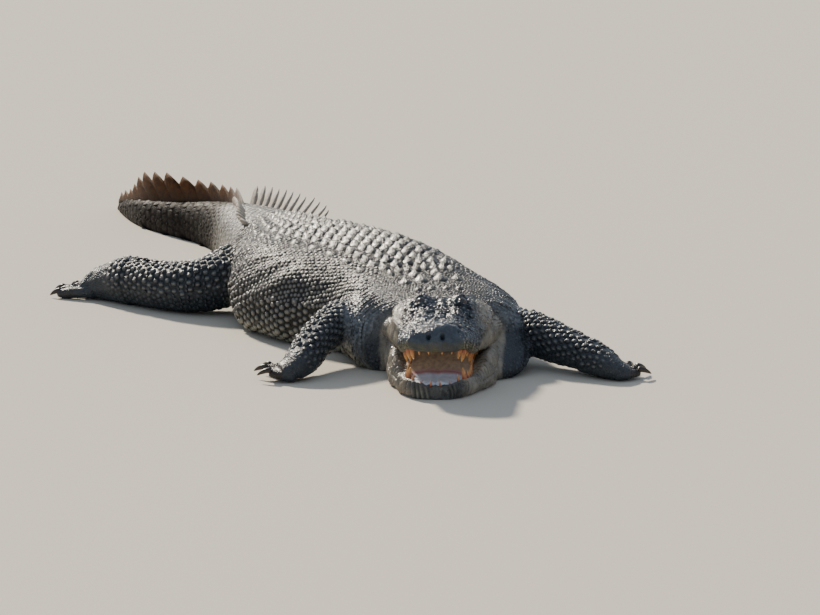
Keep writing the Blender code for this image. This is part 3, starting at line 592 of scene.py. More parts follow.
def rounded_tip(rows, rings, start, depth):
    """Draws the first rings in towards their middle, so that a jaw ends in a round tip."""
    middle = rings.mean(axis=1, keepdims=True)
    draw = np.sqrt(np.clip(1 - (1 - np.clip((rows - start) / depth, 0, 1)) ** 2, 0.03, 1))
    return middle + (rings - middle) * np.stack([np.ones_like(draw), draw], axis=-1)[:, None, :]


head_rows = rows_by_width(UPPER_JAW, 0.0036)
upper = rounded_tip(head_rows, upper_rings(head_rows, 240), 0.0, 0.010)
lift = (upper[..., 1] - (lip_height(head_rows) + jaw_lift(head_rows))[:, None]) / 0.10
upper[..., 1] += brow(head_rows[:, None], upper[..., 0]) * np.clip(lift, 0, 1) ** 2
skull, skull_chart = head_loft("hide_skull", head_rows, upper, skull_relief)
jaw_rows = rows_by_width(LOWER_JAW, 0.0038)
lower = rounded_tip(jaw_rows, lower_rings(jaw_rows, 200), 0.001, 0.008)
jaw = head_loft("hide_jaw", jaw_rows, lower, jaw_relief)[0]

# ------------------------------------------------------------------ limbs
# Four thick bent legs with spread toes. Each is its solids joined and remeshed as one skin, smoothed until
# no facet shows, with its root carried on into the body so that the hide is unbroken there.
LIMBS = {
    "right_front": ("upper_arm", "forearm", "hand"), "left_front": ("upper_arm", "forearm", "hand"),
    "right_hind": ("thigh", "shank", "foot"), "left_hind": ("thigh", "shank", "foot"),
}  # fmt: skip
# Each leg's axis on the same plan as BACKBONE, from inside the body to the middle of its palm or sole
LIMB_AXES = {
    "right_front": (
        (-0.200, 0.760, 0.150), (-0.285, 0.690, 0.150), (-0.355, 0.590, 0.135), (-0.412, 0.460, 0.105),
        (-0.452, 0.360, 0.066), (-0.484, 0.322, 0.048), (-0.526, 0.306, 0.030),
    ),
    "left_front": (
        (0.160, 0.740, 0.130), (0.290, 0.610, 0.118), (0.420, 0.500, 0.088), (0.508, 0.424, 0.068),
        (0.576, 0.362, 0.048), (0.612, 0.340, 0.038), (0.648, 0.340, 0.024),
    ),
    "right_hind": (
        (-0.540, 1.680, 0.180), (-0.700, 1.560, 0.142), (-0.840, 1.520, 0.100), (-0.980, 1.580, 0.088),
        (-1.110, 1.700, 0.084), (-1.180, 1.770, 0.068), (-1.250, 1.830, 0.044),
    ),
    "left_hind": (
        (-0.400, 1.760, 0.170), (-0.255, 1.680, 0.135), (-0.135, 1.690, 0.098), (-0.065, 1.790, 0.086),
        (-0.050, 1.920, 0.076), (-0.060, 2.000, 0.056), (-0.075, 2.080, 0.035),
    ),
}  # fmt: skip
PALMS = {limb: Vector(axis[-1]) + SHIFT for limb, axis in LIMB_AXES.items()}
PAD_REACH = {"front": 0.066, "hind": 0.085}  # from the middle of a palm or sole to its edge
PAD_HEIGHT = {"front": 0.76, "hind": 1.08}  # its thickness, as a share of the solid's
PAD_SWELL = {"front": 0.0062, "hind": 0.0075}  # how far its flesh swells beyond the smoothed solid
LIMB_VOXEL = 0.0058  # the size of the remeshed skin's squares
ROOT_SINK = 0.040  # how far a leg's root is carried on into the body


def node_mesh(names):
    """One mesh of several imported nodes, with their loose triangles merged."""
    made = bmesh.new()
    for name in names:
        made.from_mesh(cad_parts[name].data)
    bmesh.ops.remove_doubles(made, verts=made.verts, dist=0.00002)
    return made


body_solids = node_mesh(["neck", "trunk", "tail_base", "head", "lower_jaw"])
body_tree = BVHTree.FromBMesh(body_solids)


def smoothed(points, edges, rounds, back=0.94):
    """Evens out a mesh: each point moves towards its neighbours' mean, then a share of the way back."""
    count = np.bincount(edges.ravel(), minlength=len(points))[:, None]
    for turn in range(rounds):
        total = np.zeros_like(points)
        np.add.at(total, edges[:, 0], points[edges[:, 1]])
        np.add.at(total, edges[:, 1], points[edges[:, 0]])
        step = 0.5 if turn % 2 == 0 else -0.5 * back
        points = points + step * (total / count - points)
    return points


def mesh_points(mesh):
    """A mesh's vertices as an array."""
    points = np.empty(len(mesh.vertices) * 3)
    mesh.vertices.foreach_get("co", points)
    return points.reshape(-1, 3)


def mesh_edges(mesh):
    """The numbers of the two vertices of each of a mesh's edges."""
    edges = np.empty(len(mesh.edges) * 2, dtype=np.int32)
    mesh.edges.foreach_get("vertices", edges)
    return edges.reshape(-1, 2)


def apply_modifier(obj, name, kind, **settings):
    """Gives one piece a modifier and applies it."""
    bpy.ops.object.select_all(action="DESELECT")
    bpy.context.view_layer.objects.active = obj
    obj.select_set(True)
    modifier = obj.modifiers.new(name, kind)
    for setting, value in settings.items():
        setattr(modifier, setting, value)
    bpy.ops.object.modifier_apply(modifier=modifier.name)


def mesh_tree(mesh):
    """A mesh's faces, to be searched for the nearest one."""
    made = bmesh.new()
    made.from_mesh(mesh)
    tree = BVHTree.FromBMesh(made)
    made.free()
    return tree


limbs, limb_trees = {}, {}
for limb, parts in LIMBS.items():
    pair = limb.split("_")[1]
    palm, pad_reach = PALMS[limb], PAD_REACH[pair]
    made = node_mesh([f"{limb}_{part}" for part in parts])
    # The palm's or sole's own points, wrapped tight, fill the gaps between the roots of its toes
    pad = bmesh.new()
    pad.from_mesh(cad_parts[f"{limb}_{parts[-1]}"].data)
    for vert in list(pad.verts):
        if (vert.co - palm).length > pad_reach:
            pad.verts.remove(vert)
        else:
            vert.co.z *= PAD_HEIGHT[pair]
    hull = bmesh.ops.convex_hull(pad, input=pad.verts)["geom"]
    hull_verts = {vert: made.verts.new(vert.co) for vert in pad.verts}
    for face in dict.fromkeys(item for item in hull if isinstance(item, bmesh.types.BMFace)):
        made.faces.new([hull_verts[vert] for vert in face.verts])
    pad.free()
    # Points of the root that lie on the body's solids are drawn on into the body
    for vert in made.verts:
        near = body_tree.find_nearest(vert.co, 0.004)
        if near[0] is not None and vert.co.z > 0.004:
            spine = spine_at(np.interp(vert.co.y, spine_line[:, 1], spine_along))
            vert.co += (Vector(spine) + Vector((0, 0, 0.13)) - vert.co).normalized() * ROOT_SINK
    mesh = bpy.data.meshes.new(f"hide_{limb}")
    made.to_mesh(mesh)
    made.free()
    obj = add_object(mesh.name, mesh)
    apply_modifier(obj, "one_skin", "REMESH", mode="VOXEL", voxel_size=LIMB_VOXEL)
    points = smoothed(mesh_points(obj.data), mesh_edges(obj.data), 16)
    normals = np.array([vert.normal[:] for vert in obj.data.vertices])
    from_palm = np.linalg.norm(points - np.array(palm), axis=1)
    swell = PAD_SWELL[pair] * fade(from_palm, pad_reach * 0.7, pad_reach * 1.1)
    swell = swell * (1 - fade(from_palm, pad_reach * 2.5, pad_reach * 2.8))
    points += normals * swell[:, None]
    points[:, 2] = np.maximum(points[:, 2], 0.0)
    obj.data.vertices.foreach_set("co", points.ravel())
    obj.data.shade_smooth()
    limbs[limb] = obj
    limb_trees[limb] = mesh_tree(obj.data)

# ------------------------------------------------------------------ hide
# The one skin, grey-brown and horny: body, head, jaw and legs joined into a single closed surface, smoothed
# where the legs meet the body, and marked all over with where it is worn, creased, pale or dark, its grooves
# and creases for painted shade.
FILLET = 0.045  # how near to both body and leg the skin is smoothed
hide = trunk_tube
hide.name = "hide"
for other in (skull, jaw, *limbs.values()):
    apply_modifier(hide, other.name, "BOOLEAN", operation="UNION", solver="MANIFOLD", object=other)
for other in (skull, jaw, *limbs.values()):
    bpy.data.objects.remove(other)
skin_points = mesh_points(hide.data)
trunk_tree = mesh_tree(trunk_shape)
fillet = np.zeros(len(skin_points))
for i, point in enumerate(skin_points):
    to_trunk = trunk_tree.find_nearest(Vector(point), FILLET)[3]
    if to_trunk is not None:
        to_limb = [tree.find_nearest(Vector(point), FILLET)[3] for tree in limb_trees.values()]
        to_limb = [gap for gap in to_limb if gap is not None]
        if to_limb:
            fillet[i] = max(0.0, 1 - max(to_trunk, min(to_limb)) / FILLET)
soft = smoothed(skin_points, mesh_edges(hide.data), 90, back=0.0)
share = fade(fillet, 0.0, 0.5)[:, None]
skin_points = skin_points * (1 - share) + soft * share
hide.data.vertices.foreach_set("co", skin_points.ravel())
hide.data.update()
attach(hide, "root")
flesh = ["neck", "trunk", "tail_base", "tail_middle", "tail_end", "head", "lower_jaw"]
flesh += [f"{limb}_{part}" for limb, parts in LIMBS.items() for part in parts]
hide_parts(*flesh)
hide_tree = mesh_tree(hide.data)


BLOCK = 20000  # points compared with the backbone at once, to spare memory


def place_on_body(points):
    """Distance along the backbone and across it, for points in the world."""
    flat = points.copy()
    flat[:, 2] = 0.0
    marks = spine_line[::2]
    nearest = np.empty(len(flat), dtype=int)
    for start in range(0, len(flat), BLOCK):
        block = flat[start : start + BLOCK, None, :2] - marks[None, :, :2]
        nearest[start : start + BLOCK] = (block**2).sum(axis=2).argmin(axis=1)
    along = spine_along[::2][nearest]
    ahead = spine_ahead(along)
    off = flat - spine_at(along)
    along = along + (off * ahead).sum(axis=1)
    return along, off[:, 0] * ahead[:, 1] - off[:, 1] * ahead[:, 0]


def mark_vertices(mesh, **values):
    """Keeps a number for each vertex, for the materials to read."""
    for name, value in values.items():
        layer = mesh.attributes.new(name, "FLOAT", "POINT")
        layer.data.foreach_set("value", np.asarray(value, dtype=np.float32))


# Each claw's base and tip, read from its solid, and the radius of its base
claw_nodes = [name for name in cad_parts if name.endswith("_claw")]
claw_axes = {}
for name in claw_nodes:
    points = mesh_points(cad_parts[name].data)
    spread = points - points.mean(axis=0)
    reach = spread @ np.linalg.svd(spread, full_matrices=False)[2][0]
    ends = [points[reach <= reach.min() + 0.002], points[reach >= reach.max() - 0.002]]
    wide = [np.linalg.norm(end - end.mean(axis=0), axis=1).max() for end in ends]
    base, tip = (ends[0], ends[1]) if wide[0] > wide[1] else (ends[1], ends[0])
    claw_axes[name] = (base.mean(axis=0), tip.mean(axis=0), max(wide))

COLOUR_MARKS = ("root", "cream", "tail", "low", "mouth", "snout", "lip", "limb", "hood", "toe")


def markings(points):
    """The animal's colouring: cream on the cheeks and jaw sides, pale below, brown to the tail's end, with
    painted shade on the legs and tail end, painted sky light on the hoods, a painted highlight on the tail
    root.
    """
    along, across = place_on_body(points)
    height = points[:, 2]
    beyond_jaw = np.abs(across) - jaw_half(along, across)
    face = (1 - fade(along, 0.485, 0.505)) * (1 - fade(beyond_jaw, 0.006, 0.018))
    cheek = face * fade(along, 0.22, 0.42) * fade(np.abs(across), 0.095, 0.15)
    jaw_side = face * (1 - fade(height, 0.12, 0.17)) * fade(along + np.abs(across) * 0.8, 0.08, 0.16)
    cream = np.clip(cheek + jaw_side, 0, 1)
    # The open mouth's lining: the palate above, and the bed between the lower teeth
    rim = lip_height(along)
    halfway = rim + 0.35 * jaw_lift(along)
    vault = 0.004 + 0.026 * fade(along, 0.02, 0.09)
    roof = (height < rim + jaw_lift(along) + vault) & (height > halfway)
    roof = roof & (np.abs(across) < 0.80 * read(UPPER_JAW, along)[:, 0]) & (along > 0.032)
    bed = (height > rim - 0.040) & (height <= halfway + 0.001)
    bed = bed & (np.abs(across) < 0.94 * (rim_share(along) * read(LOWER_JAW, along)[:, 0]))
    inside = (roof | bed) & (along > 0.016) & (along < JAW_CORNER + 0.02) & (face > 0.5)
    mouth = inside.astype(float)
    cream = cream * (1 - mouth)
    # Behind the head: the brown tail's end and the legs, both darkened with painted shade, the hoods over the
    # shoulders with painted sky light, and the pale underside
    # Brown to the tail's end, darkened nearly black as painted shade of its shaded side.
    tail = fade(along, 2.66, 2.98)
    trunk_half = read(BODY, along)[:, 0]
    limb = fade(np.abs(across) - trunk_half, -0.01, 0.035) * (1 - face)
    # The hoods over the shoulders, paler and bluer: painted sky light on the neck's shaded sides.
    hood = fade(along, 0.48, 0.53) * (1 - fade(along, 0.70, 0.82))
    hood = hood * fade(np.abs(across) / trunk_half, 0.4, 0.7)
    hood = hood * (1 - limb) * (1 - face) * (1 - 0.75 * fade(height, 0.15, 0.24))
    low = (1 - fade(height, 0.01, 0.10)) * (1 - face) * (1 - limb)
    # The snout's dark skin and the strip along its lip
    above_lip = height - rim - jaw_lift(along)
    snout = face * (1 - cream) * (above_lip > -0.003) * (1 - mouth) * (1 - fade(along, 0.36, 0.50))
    lip = face * fade(above_lip, -0.012, -0.002) * (1 - fade(above_lip, 0.012, 0.036)) * (1 - mouth)
    lip = lip * (1 - fade(along, 0.25, 0.36))
    # Round each claw's base, fainter on the hind feet
    toe = np.zeros(len(points))
    for name, (base, _, _) in claw_axes.items():
        reach = PAD_REACH[name.split("_")[1]]
        gap = np.linalg.norm(points - base, axis=1)
        toe = np.maximum(toe, (1 - fade(gap, 0.6 * reach, reach)) * (0.5 if "hind" in name else 1.0))
    # Paler on top over the tail's root: dry dust, with a painted sunlit highlight there.
    root = fade(along, 1.62, 2.10) * (1 - fade(along, 2.64, 2.84)) * (1 - limb) * fade(height, 0.05, 0.16)
    return {
        "root": root, "toe": toe, "limb": limb, "hood": hood, "cream": cream, "tail": tail, "low": low,
        "mouth": mouth, "snout": snout, "lip": lip, "face": face,
    }  # fmt: skip


def mark_hide(mesh, marks, **values):
    """Keeps a mesh's colouring and its other values for the hide's material."""
    mark_vertices(mesh, **values, **{name: marks[name] for name in COLOUR_MARKS})


# How high the skin between the scales stands: raised near bare palms and on the face, sunk in the creases
# The lower it lies, the darker the material paints it: painted shade in the grooves and creases.
skin_points = mesh_points(hide.data)
skin_marks = markings(skin_points)
skin_along = place_on_body(skin_points)[0]
# It is raised over the head and neck, and over the tail's root as part of the painted highlight there.
between = 0.17 + 0.15 * fade(skin_along, 1.85, 2.1) + 0.34 * (1 - fade(skin_along, 0.70, 0.86))
for limb, palm in PALMS.items():
    reach = np.linalg.norm(skin_points - np.array(palm), axis=1)
    near, far = (0.19, 0.25) if "hind" in limb else (0.13, 0.18)
    between = np.maximum(between, 0.55 * (1 - fade(reach, near, far)))
between = np.maximum(between, 0.34 * skin_marks["limb"])
skin_normals = np.array([vert.normal[:] for vert in hide.data.vertices])
# Depth below the smoothed neighbours: deep creases on the face and hoods sink the skin's rise, painted shade
# in them.
levelled = smoothed(skin_points, mesh_edges(hide.data), 8, back=0.0)
crease_shade = np.clip(np.sum((levelled - skin_points) * skin_normals, axis=1) / 0.0011, -0.2, 1.0)
# Bare face skin stands high, but low between the snout's knobs, painted darker there as shade.
bare = 0.70 - 0.34 * skin_marks["snout"] * fade(skin_along, 0.045, 0.075)
between = between + (bare - between) * skin_marks["face"]
between = between - 0.38 * crease_shade * np.maximum(skin_marks["face"], skin_marks["hood"])
mark_hide(hide.data, skin_marks, rise=np.clip(between, 0.06, 0.9), tone=np.full(len(skin_points), 0.5))
HIDE_FACES = 196000  # triangles left in the hide, enough for every fold
skin_faces = sum(len(face.vertices) - 2 for face in hide.data.polygons)
apply_modifier(hide, "thinned", "DECIMATE", ratio=HIDE_FACES / skin_faces)

# Dry horny hide: matt, with painted shade nearly black in its grooves and creases, rubbed pale on the tops of
# its scales, with a dull gloss that gets stronger on the snout and on the tail
skin, tree, skin_shader = new_material("dry_crocodile_hide", 0.5)
skin_shader.inputs["IOR"].default_value = 1.5


def place_in(tree):
    """Where each point of the surface is, in metres, from the material's one coordinate node."""
    nodes = [node for node in tree.nodes if node.type == "TEX_COORD"]
    return (nodes[0] if nodes else add_node(tree, "TexCoord")).outputs["Object"]


def mark(tree, name):
    """A number kept for each vertex, as a node's output."""
    return add_node(tree, "Attribute", attribute_name=name).outputs["Fac"]


def blend(tree, share, first, second):
    """Mixes two colours, each a hex code or another node's colour, by a share."""
    made = add_node(tree, "Mix", data_type="RGBA")
    for socket, colour in ((made.inputs[6], first), (made.inputs[7], second)):
        if isinstance(colour, str):
            socket.default_value = srgb(colour)
        else:
            tree.links.new(colour, socket)
    tree.links.new(share, made.inputs[0])
    return made.outputs[2]


def patches(tree, size, detail, low, high):
    """A share from 0 to 1 that varies over the surface in patches of a real size in metres."""
    grain = add_node(tree, "TexNoise", {"Vector": place_in(tree)}, Scale=1 / size, Detail=detail)
    span = add_node(tree, "MapRange", {"Value": grain.outputs[0]}, From_Min=low, From_Max=high)
    return span.outputs[0]


def hide_colours(tree):
    """The hide's colour: one coat over the back, with each mark's own colours laid over it in turn.

    Grooves and creases are then painted near black as shade, tops of scales rubbed pale, and the mouth's
    lining laid over all. The legs and the tail's end carry painted shade, the hoods painted sky light, and
    the tail's root a painted highlight.
    """
    upper = blend(tree, patches(tree, 0.30, 3, 0.35, 0.65), "#34383B", "#43423E")
    upper = blend(tree, patches(tree, 0.030, 4, 0.45, 0.75), upper, "#232729")
    upper = blend(tree, mark(tree, "tone"), upper, "#504F4A")
    # Paler over the tail's root: dry dust with a painted highlight of the sun on its top.
    upper = blend(tree, mark(tree, "root"), upper, blend(tree, mark(tree, "tone"), "#66645E", "#827E76"))
    # Legs dark blue-black: their grey darkened as painted shade, for the body's shadow over them.
    leg_in_shade = blend(tree, mark(tree, "tone"), "#20262D", "#394148")
    upper = blend(tree, mark(tree, "limb"), upper, leg_in_shade)
    # Hoods mottled in streaks, paler and bluer than the back: painted sky light in the neck's shade.
    hood = blend(tree, patches(tree, 0.014, 5, 0.38, 0.64), "#545B62", "#868D94")
    upper = blend(tree, mark(tree, "hood"), upper, hood)
    upper = blend(tree, mark(tree, "toe"), upper, "#261C15")
    below = blend(tree, mark(tree, "low"), upper, "#78786C")
    # The tail's end: brown, darkened nearly black as painted shade.
    tail = blend(tree, mark(tree, "tail"), below, blend(tree, mark(tree, "tone"), "#15100D", "#241C16"))
    cream = blend(tree, patches(tree, 0.05, 5, 0.35, 0.70), "#968D7D", "#6C6962")
    snout = blend(tree, patches(tree, 0.02, 4, 0.4, 0.7), "#27313D", "#3C4854")
    snout = blend(tree, mark(tree, "snout"), tail, snout)
    lip = blend(tree, mark(tree, "lip"), snout, "#46452D")
    face = blend(tree, mark(tree, "cream"), lip, cream)
    # Low skin and the rims of scales are painted near black: painted shade in the grooves.
    groove_shade_share = add_node(tree, "MapRange", {"Value": mark(tree, "rise")}, From_Min=0.05, From_Max=0.60)
    groove_shaded = blend(tree, groove_shade_share.outputs[0], "#17181A", face)
    rise = mark(tree, "rise")
    worn = add_node(tree, "MapRange", {"Value": rise}, From_Min=0.80, From_Max=1.0, To_Max=0.42)
    horn = blend(tree, worn.outputs[0], groove_shaded, "#938F84")
    lining = blend(tree, patches(tree, 0.018, 4, 0.35, 0.70), "#D6D4D6", "#B0AEB2")
    return blend(tree, mark(tree, "mouth"), horn, lining)


tree.links.new(hide_colours(tree), skin_shader.inputs["Base Color"])
gloss = add_node(tree, "MapRange", {"Value": patches(tree, 0.012, 4, 0.3, 0.7)}, To_Min=0.20, To_Max=0.42)
damp = add_node(tree, "MapRange", {"Value": mark(tree, "snout")}, To_Max=0.40)
polish = add_node(tree, "Math", {0: mark(tree, "tail"), 1: damp.outputs[0]}, operation="SUBTRACT")
polish = add_node(tree, "Math", {0: polish.outputs[0], 1: 0.80}, operation="MULTIPLY").outputs[0]
gloss = gloss.outputs[0]
polish = add_node(tree, "Math", {0: polish, 1: gloss, 2: gloss}, operation="MULTIPLY_ADD")
tree.links.new(polish.outputs[0], skin_shader.inputs["Roughness"])
raised = add_node(
    tree, "MapRange", {"Value": mark(tree, "rise")}, From_Min=0.20, From_Max=0.75, To_Min=0.16, To_Max=0.62
)
matte = add_node(tree, "MapRange", {"Value": mark(tree, "tail")}, To_Min=1.0, To_Max=0.25)
sheen = add_node(tree, "Math", {0: raised.outputs[0], 1: matte.outputs[0]}, operation="MULTIPLY")
tree.links.new(sheen.outputs[0], skin_shader.inputs["Specular IOR Level"])
cracks = add_node(tree, "TexVoronoi", {"Vector": place_in(tree)}, feature="DISTANCE_TO_EDGE", Scale=190)
grain = add_node(tree, "TexNoise", {"Vector": place_in(tree)}, Scale=420, Detail=4)
crack_depth = add_node(tree, "MapRange", {"Value": cracks.outputs[0]}, From_Max=0.10)
fine = add_node(tree, "Math", {0: crack_depth.outputs[0], 1: grain.outputs[0]}, operation="ADD")
bump = add_node(tree, "Bump", {"Height": fine.outputs[0]}, Strength=0.5, Distance=0.0012)
tree.links.new(bump.outputs[0], skin_shader.inputs["Normal"])
hide.data.materials.clear()
hide.data.materials.append(skin)

# ------------------------------------------------------------------ body scales
# Horny scales grown on the hide: domes on the neck and flanks, square plates on the belly, ringed plates on
# the tail. Each is one small closed dome, laid on the chart of the body that its row follows.
chance = np.random.default_rng(7)
laid_scales = []  # each scale's root and half size, so that no two share a place
UNWRAP = 1 / 4.2  # the unwrap of the body: metres to shares of the bake


def dome(sides, rings, square):
    """A unit scale: rings of points from its rim to its middle, each a share of its size and its height."""
    turn = np.arange(sides) * 2 * math.pi / sides
    reach = (np.abs(np.cos(turn)) ** square + np.abs(np.sin(turn)) ** square) ** (-1 / square)
    outline = np.stack([np.cos(turn) * reach, np.sin(turn) * reach], axis=1)
    points = [(x * size, y * size, rise) for size, rise in rings for x, y in outline] + [(0.0, 0.0, 1.0)]
    faces = []
    for r in range(len(rings) - 1):
        for k in range(sides):
            j = (k + 1) % sides
            faces.append((r * sides + k, r * sides + j, (r + 1) * sides + j, (r + 1) * sides + k))
    last = (len(rings) - 1) * sides
    faces += [(last + k, last + (k + 1) % sides, len(points) - 1) for k in range(sides)]
    return np.array(points), faces, tuple(range(sides))[::-1]


ROUND_DOME = dome(8, ((1.0, 0.0), (0.84, 0.62), (0.50, 0.93)), 2.4)
SQUARE_DOME = dome(8, ((1.0, 0.0), (0.86, 0.70), (0.55, 0.95)), 3.6)
TAIL_PLATE = dome(8, ((1.0, 0.0), (0.91, 0.75), (0.66, 0.97)), 5.0)
KEELED = dome(12, ((1.0, 0.0), (0.84, 0.42), (0.46, 0.80)), 2.8)


def scales_tree():
    """The roots of all scales laid so far, to be searched for the nearest one."""
    tree = KDTree(len(laid_scales))
    for i, (root, _) in enumerate(laid_scales):
        tree.insert(root, i)
    tree.balance()
    return tree


def lay_scales(
    name, chart, kind, sites, unwrap, keel=None, rake=0.0, sink=0.0018, reach=0.022, worn=1.0, roots=None
):
    """Lays one kind of scale at sites: distance along, v round the chart, half length, half width, height.

    keel is the height of each scale's ridge, rake how far the ridge leans back, sink the depth of its rim in
    the hide, reach the furthest the hide may be from the chart, and worn the share of height that reads as
    worn horn. roots gives the scales' places outright, where no chart passes.
    """
    shape, faces, base = kind
    sites = np.array(sites, float)
    if roots is None:
        roots = chart.place(sites[:, 0], sites[:, 1], np.zeros(len(sites)))
    kept, feet, faced = [], [], []
    taken = scales_tree()
    for i, root in enumerate(roots):
        foot, normal = hide_tree.find_nearest(Vector(root), reach)[:2]
        if foot is None:
            continue
        near = taken.find(foot)
        if near[0] is not None and near[2] < 0.46 * (laid_scales[near[1]][1] + min(sites[i, 2:4])):
            continue
        kept.append(i)
        feet.append(foot)
        faced.append(normal)
    laid_scales.extend((foot, min(sites[i, 2:4])) for i, foot in zip(kept, feet))
    feet, faced, sites = np.array(feet), np.array(faced), sites[kept]
    along, v, half_long, half_wide, height = sites[:, :5].T
    count, size = len(along), len(shape)
    turn = chance.uniform(-0.10, 0.10, count)[:, None]
    x = shape[None, :, 0] * (1 + chance.uniform(-0.06, 0.06, (count, 1)))
    y = shape[None, :, 1] * (1 + chance.uniform(-0.06, 0.06, (count, 1)))
    rise = np.repeat(shape[None, :, 2], count, axis=0)
    spread_x = (x * np.cos(turn) - y * np.sin(turn)) * half_long[:, None]
    spread_y = (x * np.sin(turn) + y * np.cos(turn)) * half_wide[:, None]
    up = rise * height[:, None] * chance.uniform(0.8, 1.15, (count, 1)) - sink
    if keel is not None:
        ridge = np.clip(1 - np.abs(shape[:, 1]) / 0.40, 0, 1)[None] * np.clip(0.62 + 0.38 * x, 0, 1)
        ridge = ridge * (1 - np.clip((np.abs(x) - 0.80) / 0.2, 0, 1))
        up += ridge * keel[kept][:, None]
        spread_x += rake * ridge * keel[kept][:, None]
    level = np.zeros(count)
    out = unit(faced + unit(chart.read(chart.normals, along, v)))
    ahead = chart.place(along + 0.004, v, level) - chart.place(along - 0.004, v, level)
    ahead = unit(ahead - out * np.sum(ahead * out, axis=1, keepdims=True))
    aside = np.cross(out, ahead)
    left = chart.place(along, v + 0.02, level) - chart.place(along, v - 0.02, level)
    aside *= np.sign(np.sum(aside * left, axis=1))[:, None]
    bend = spread_x**2 + spread_y**2
    places = feet[:, None] + spread_x[..., None] * ahead[:, None] + spread_y[..., None] * aside[:, None]
    places = places + (up - bend / 0.45)[..., None] * out[:, None]
    places = places.reshape(-1, 3)
    places[:, 2] = np.maximum(places[:, 2], 0.0006)
    mesh = bpy.data.meshes.new(name)
    solid = [*faces, base]
    offsets = np.arange(count) * size
    loops = np.array([i for face in solid for i in face])[None] + offsets[:, None]
    sizes = np.tile([len(face) for face in solid], count)
    mesh.vertices.add(len(places))
    mesh.vertices.foreach_set("co", places.ravel())
    mesh.loops.add(loops.size)
    mesh.loops.foreach_set("vertex_index", loops.ravel().astype(np.int32))
    mesh.polygons.add(len(sizes))
    mesh.polygons.foreach_set("loop_start", np.concatenate([[0], np.cumsum(sizes)[:-1]]).astype(np.int32))
    mesh.update(calc_edges=True)
    mesh.validate()
    tone = np.repeat(chance.uniform(0, 1, count), size)
    # A scale's rim takes the painted groove shade, and its top takes the pale of worn horn.
    lift = np.clip(rise * worn + (0 if keel is None else ridge * 0.5), 0, 1).ravel()
    mark_hide(mesh, markings(places), rise=lift, tone=tone)
    spread = shape[None, :, :2] * np.stack([half_long, half_wide], axis=-1)[:, None, :]
    patch = unwrap(along, v)[:, None, :] + 0.94 * spread * UNWRAP
    on_loops = np.concatenate([np.array(face) for face in solid])
    uv = patch[:, on_loops]
    uv[:, -len(base):] = unwrap(along, v)[:, None, :]
    layer = mesh.uv_layers.new(name="OFBake")
    layer.data.foreach_set("uv", uv.ravel())
    obj = add_object(name, mesh)
    mesh.materials.append(skin)
    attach(obj, "root")


def body_unwrap(along, v):
    """Each scale's place in the unwrap, for the scales laid on the body."""
    return np.stack([along * UNWRAP, 0.5 + v * body.half_girth(along) * UNWRAP], axis=-1)


def scale_rows(chart, start, end, pitch, v_from, v_to, width, shape, loose=0.20):
    """Sites in staggered rows over both sides of a chart, between two limits of v at each distance along."""
    sites = []
    steps = max(2, int(round((end - start) / pitch)))
    for i in range(steps):
        along = start + (i + 0.5) * (end - start) / steps
        girth = float(chart.half_girth(along))
        first, last = v_from(along) * girth, v_to(along) * girth
        for side in (-1, 1):
            w = first
            if i % 2:
                w += (0.5 if first < 0.001 else -0.5) * width(first / girth)
            while w < last:
                wide = width(w / girth)
                long, high = shape(along, w / girth)
                grown = chance.uniform(1 - loose, 1 + 0.4 * loose)
                sites.append((along + chance.uniform(-1, 1) * loose * pitch,
                              side * (w + wide * (0.5 + 0.6 * chance.uniform(-1, 1) * loose)) / girth,
                              long * grown, wide * 0.47 * grown, high))  # fmt: skip
                w += wide
    return sites


# Distance across, half width and share of height of one side's scutes, from the back's middle line outwards
SCUTE_COLUMNS = ((0.026, 0.027, 1.0), (0.081, 0.028, 1.0), (0.137, 0.028, 0.85), (0.190, 0.024, 0.6))
# Distance along and across, and half size, of one side's scutes on the nape
NAPE_SCUTES = (
    (0.690, 0.036, 0.030), (0.690, 0.098, 0.026), (0.742, 0.040, 0.028), (0.598, 0.030, 0.016),
    (0.598, 0.080, 0.016),
)  # fmt: skip
SCUTE_ROWS = 21
SCUTE_START, SCUTE_PITCH = 0.790, 0.0565  # along the backbone
scutes = []
keels = []
for i in range(SCUTE_ROWS):
    along = SCUTE_START + i * SCUTE_PITCH
    broad = (0.55 + 0.45 * fade(along, 0.76, 0.90)) * (1 - 0.35 * fade(along, 1.60, 1.90))
    for across, wide, share in SCUTE_COLUMNS:
        if across > 0.16 and i % 2:  # the outermost column has every second row only
            continue
        for side in (-1, 1):
            v = side * across * broad / float(body.half_girth(along))
            scutes.append((along + chance.uniform(-0.003, 0.003), v, 0.0262, wide * broad, 0.0060))
            keels.append((0.0185 if share > 0.7 else 0.0125) * share * chance.uniform(0.75, 1.2))
for along, across, wide in NAPE_SCUTES:
    for side in (-1, 1):
        scutes.append((along, side * across / float(body.half_girth(along)), wide, wide, 0.0070))
        keels.append(0.55 * wide)
lay_scales("back_scutes", body, KEELED, scutes, body_unwrap, keel=np.array(keels), rake=0.3, worn=0.86)
scute_places = np.array([(s[0], s[1] * float(body.half_girth(s[0])), max(s[2], s[3])) for s in scutes])


def clear_of_scutes(sites):
    """The sites that lie beside the scutes and not under them."""
    kept = []
    for site in sites:
        w = site[1] * float(body.half_girth(site[0]))
        gap = np.hypot(scute_places[:, 0] - site[0], scute_places[:, 1] - w) - scute_places[:, 2]
        if gap.min() > 0.001:
            kept.append(site)
    return kept


# Distances along the backbone at which the neck's, the trunk's and the tail's scales begin and end
NECK_START, NECK_END, HIPS, TAIL_LAST = 0.483, 0.780, 1.930, 3.960


def neck_width(v):
    """Width of one scale of the neck: grains of uneven size, broader on the sides."""
    return chance.uniform(0.0090, 0.0150) * (1.0 if v < 0.3 else 1.25)


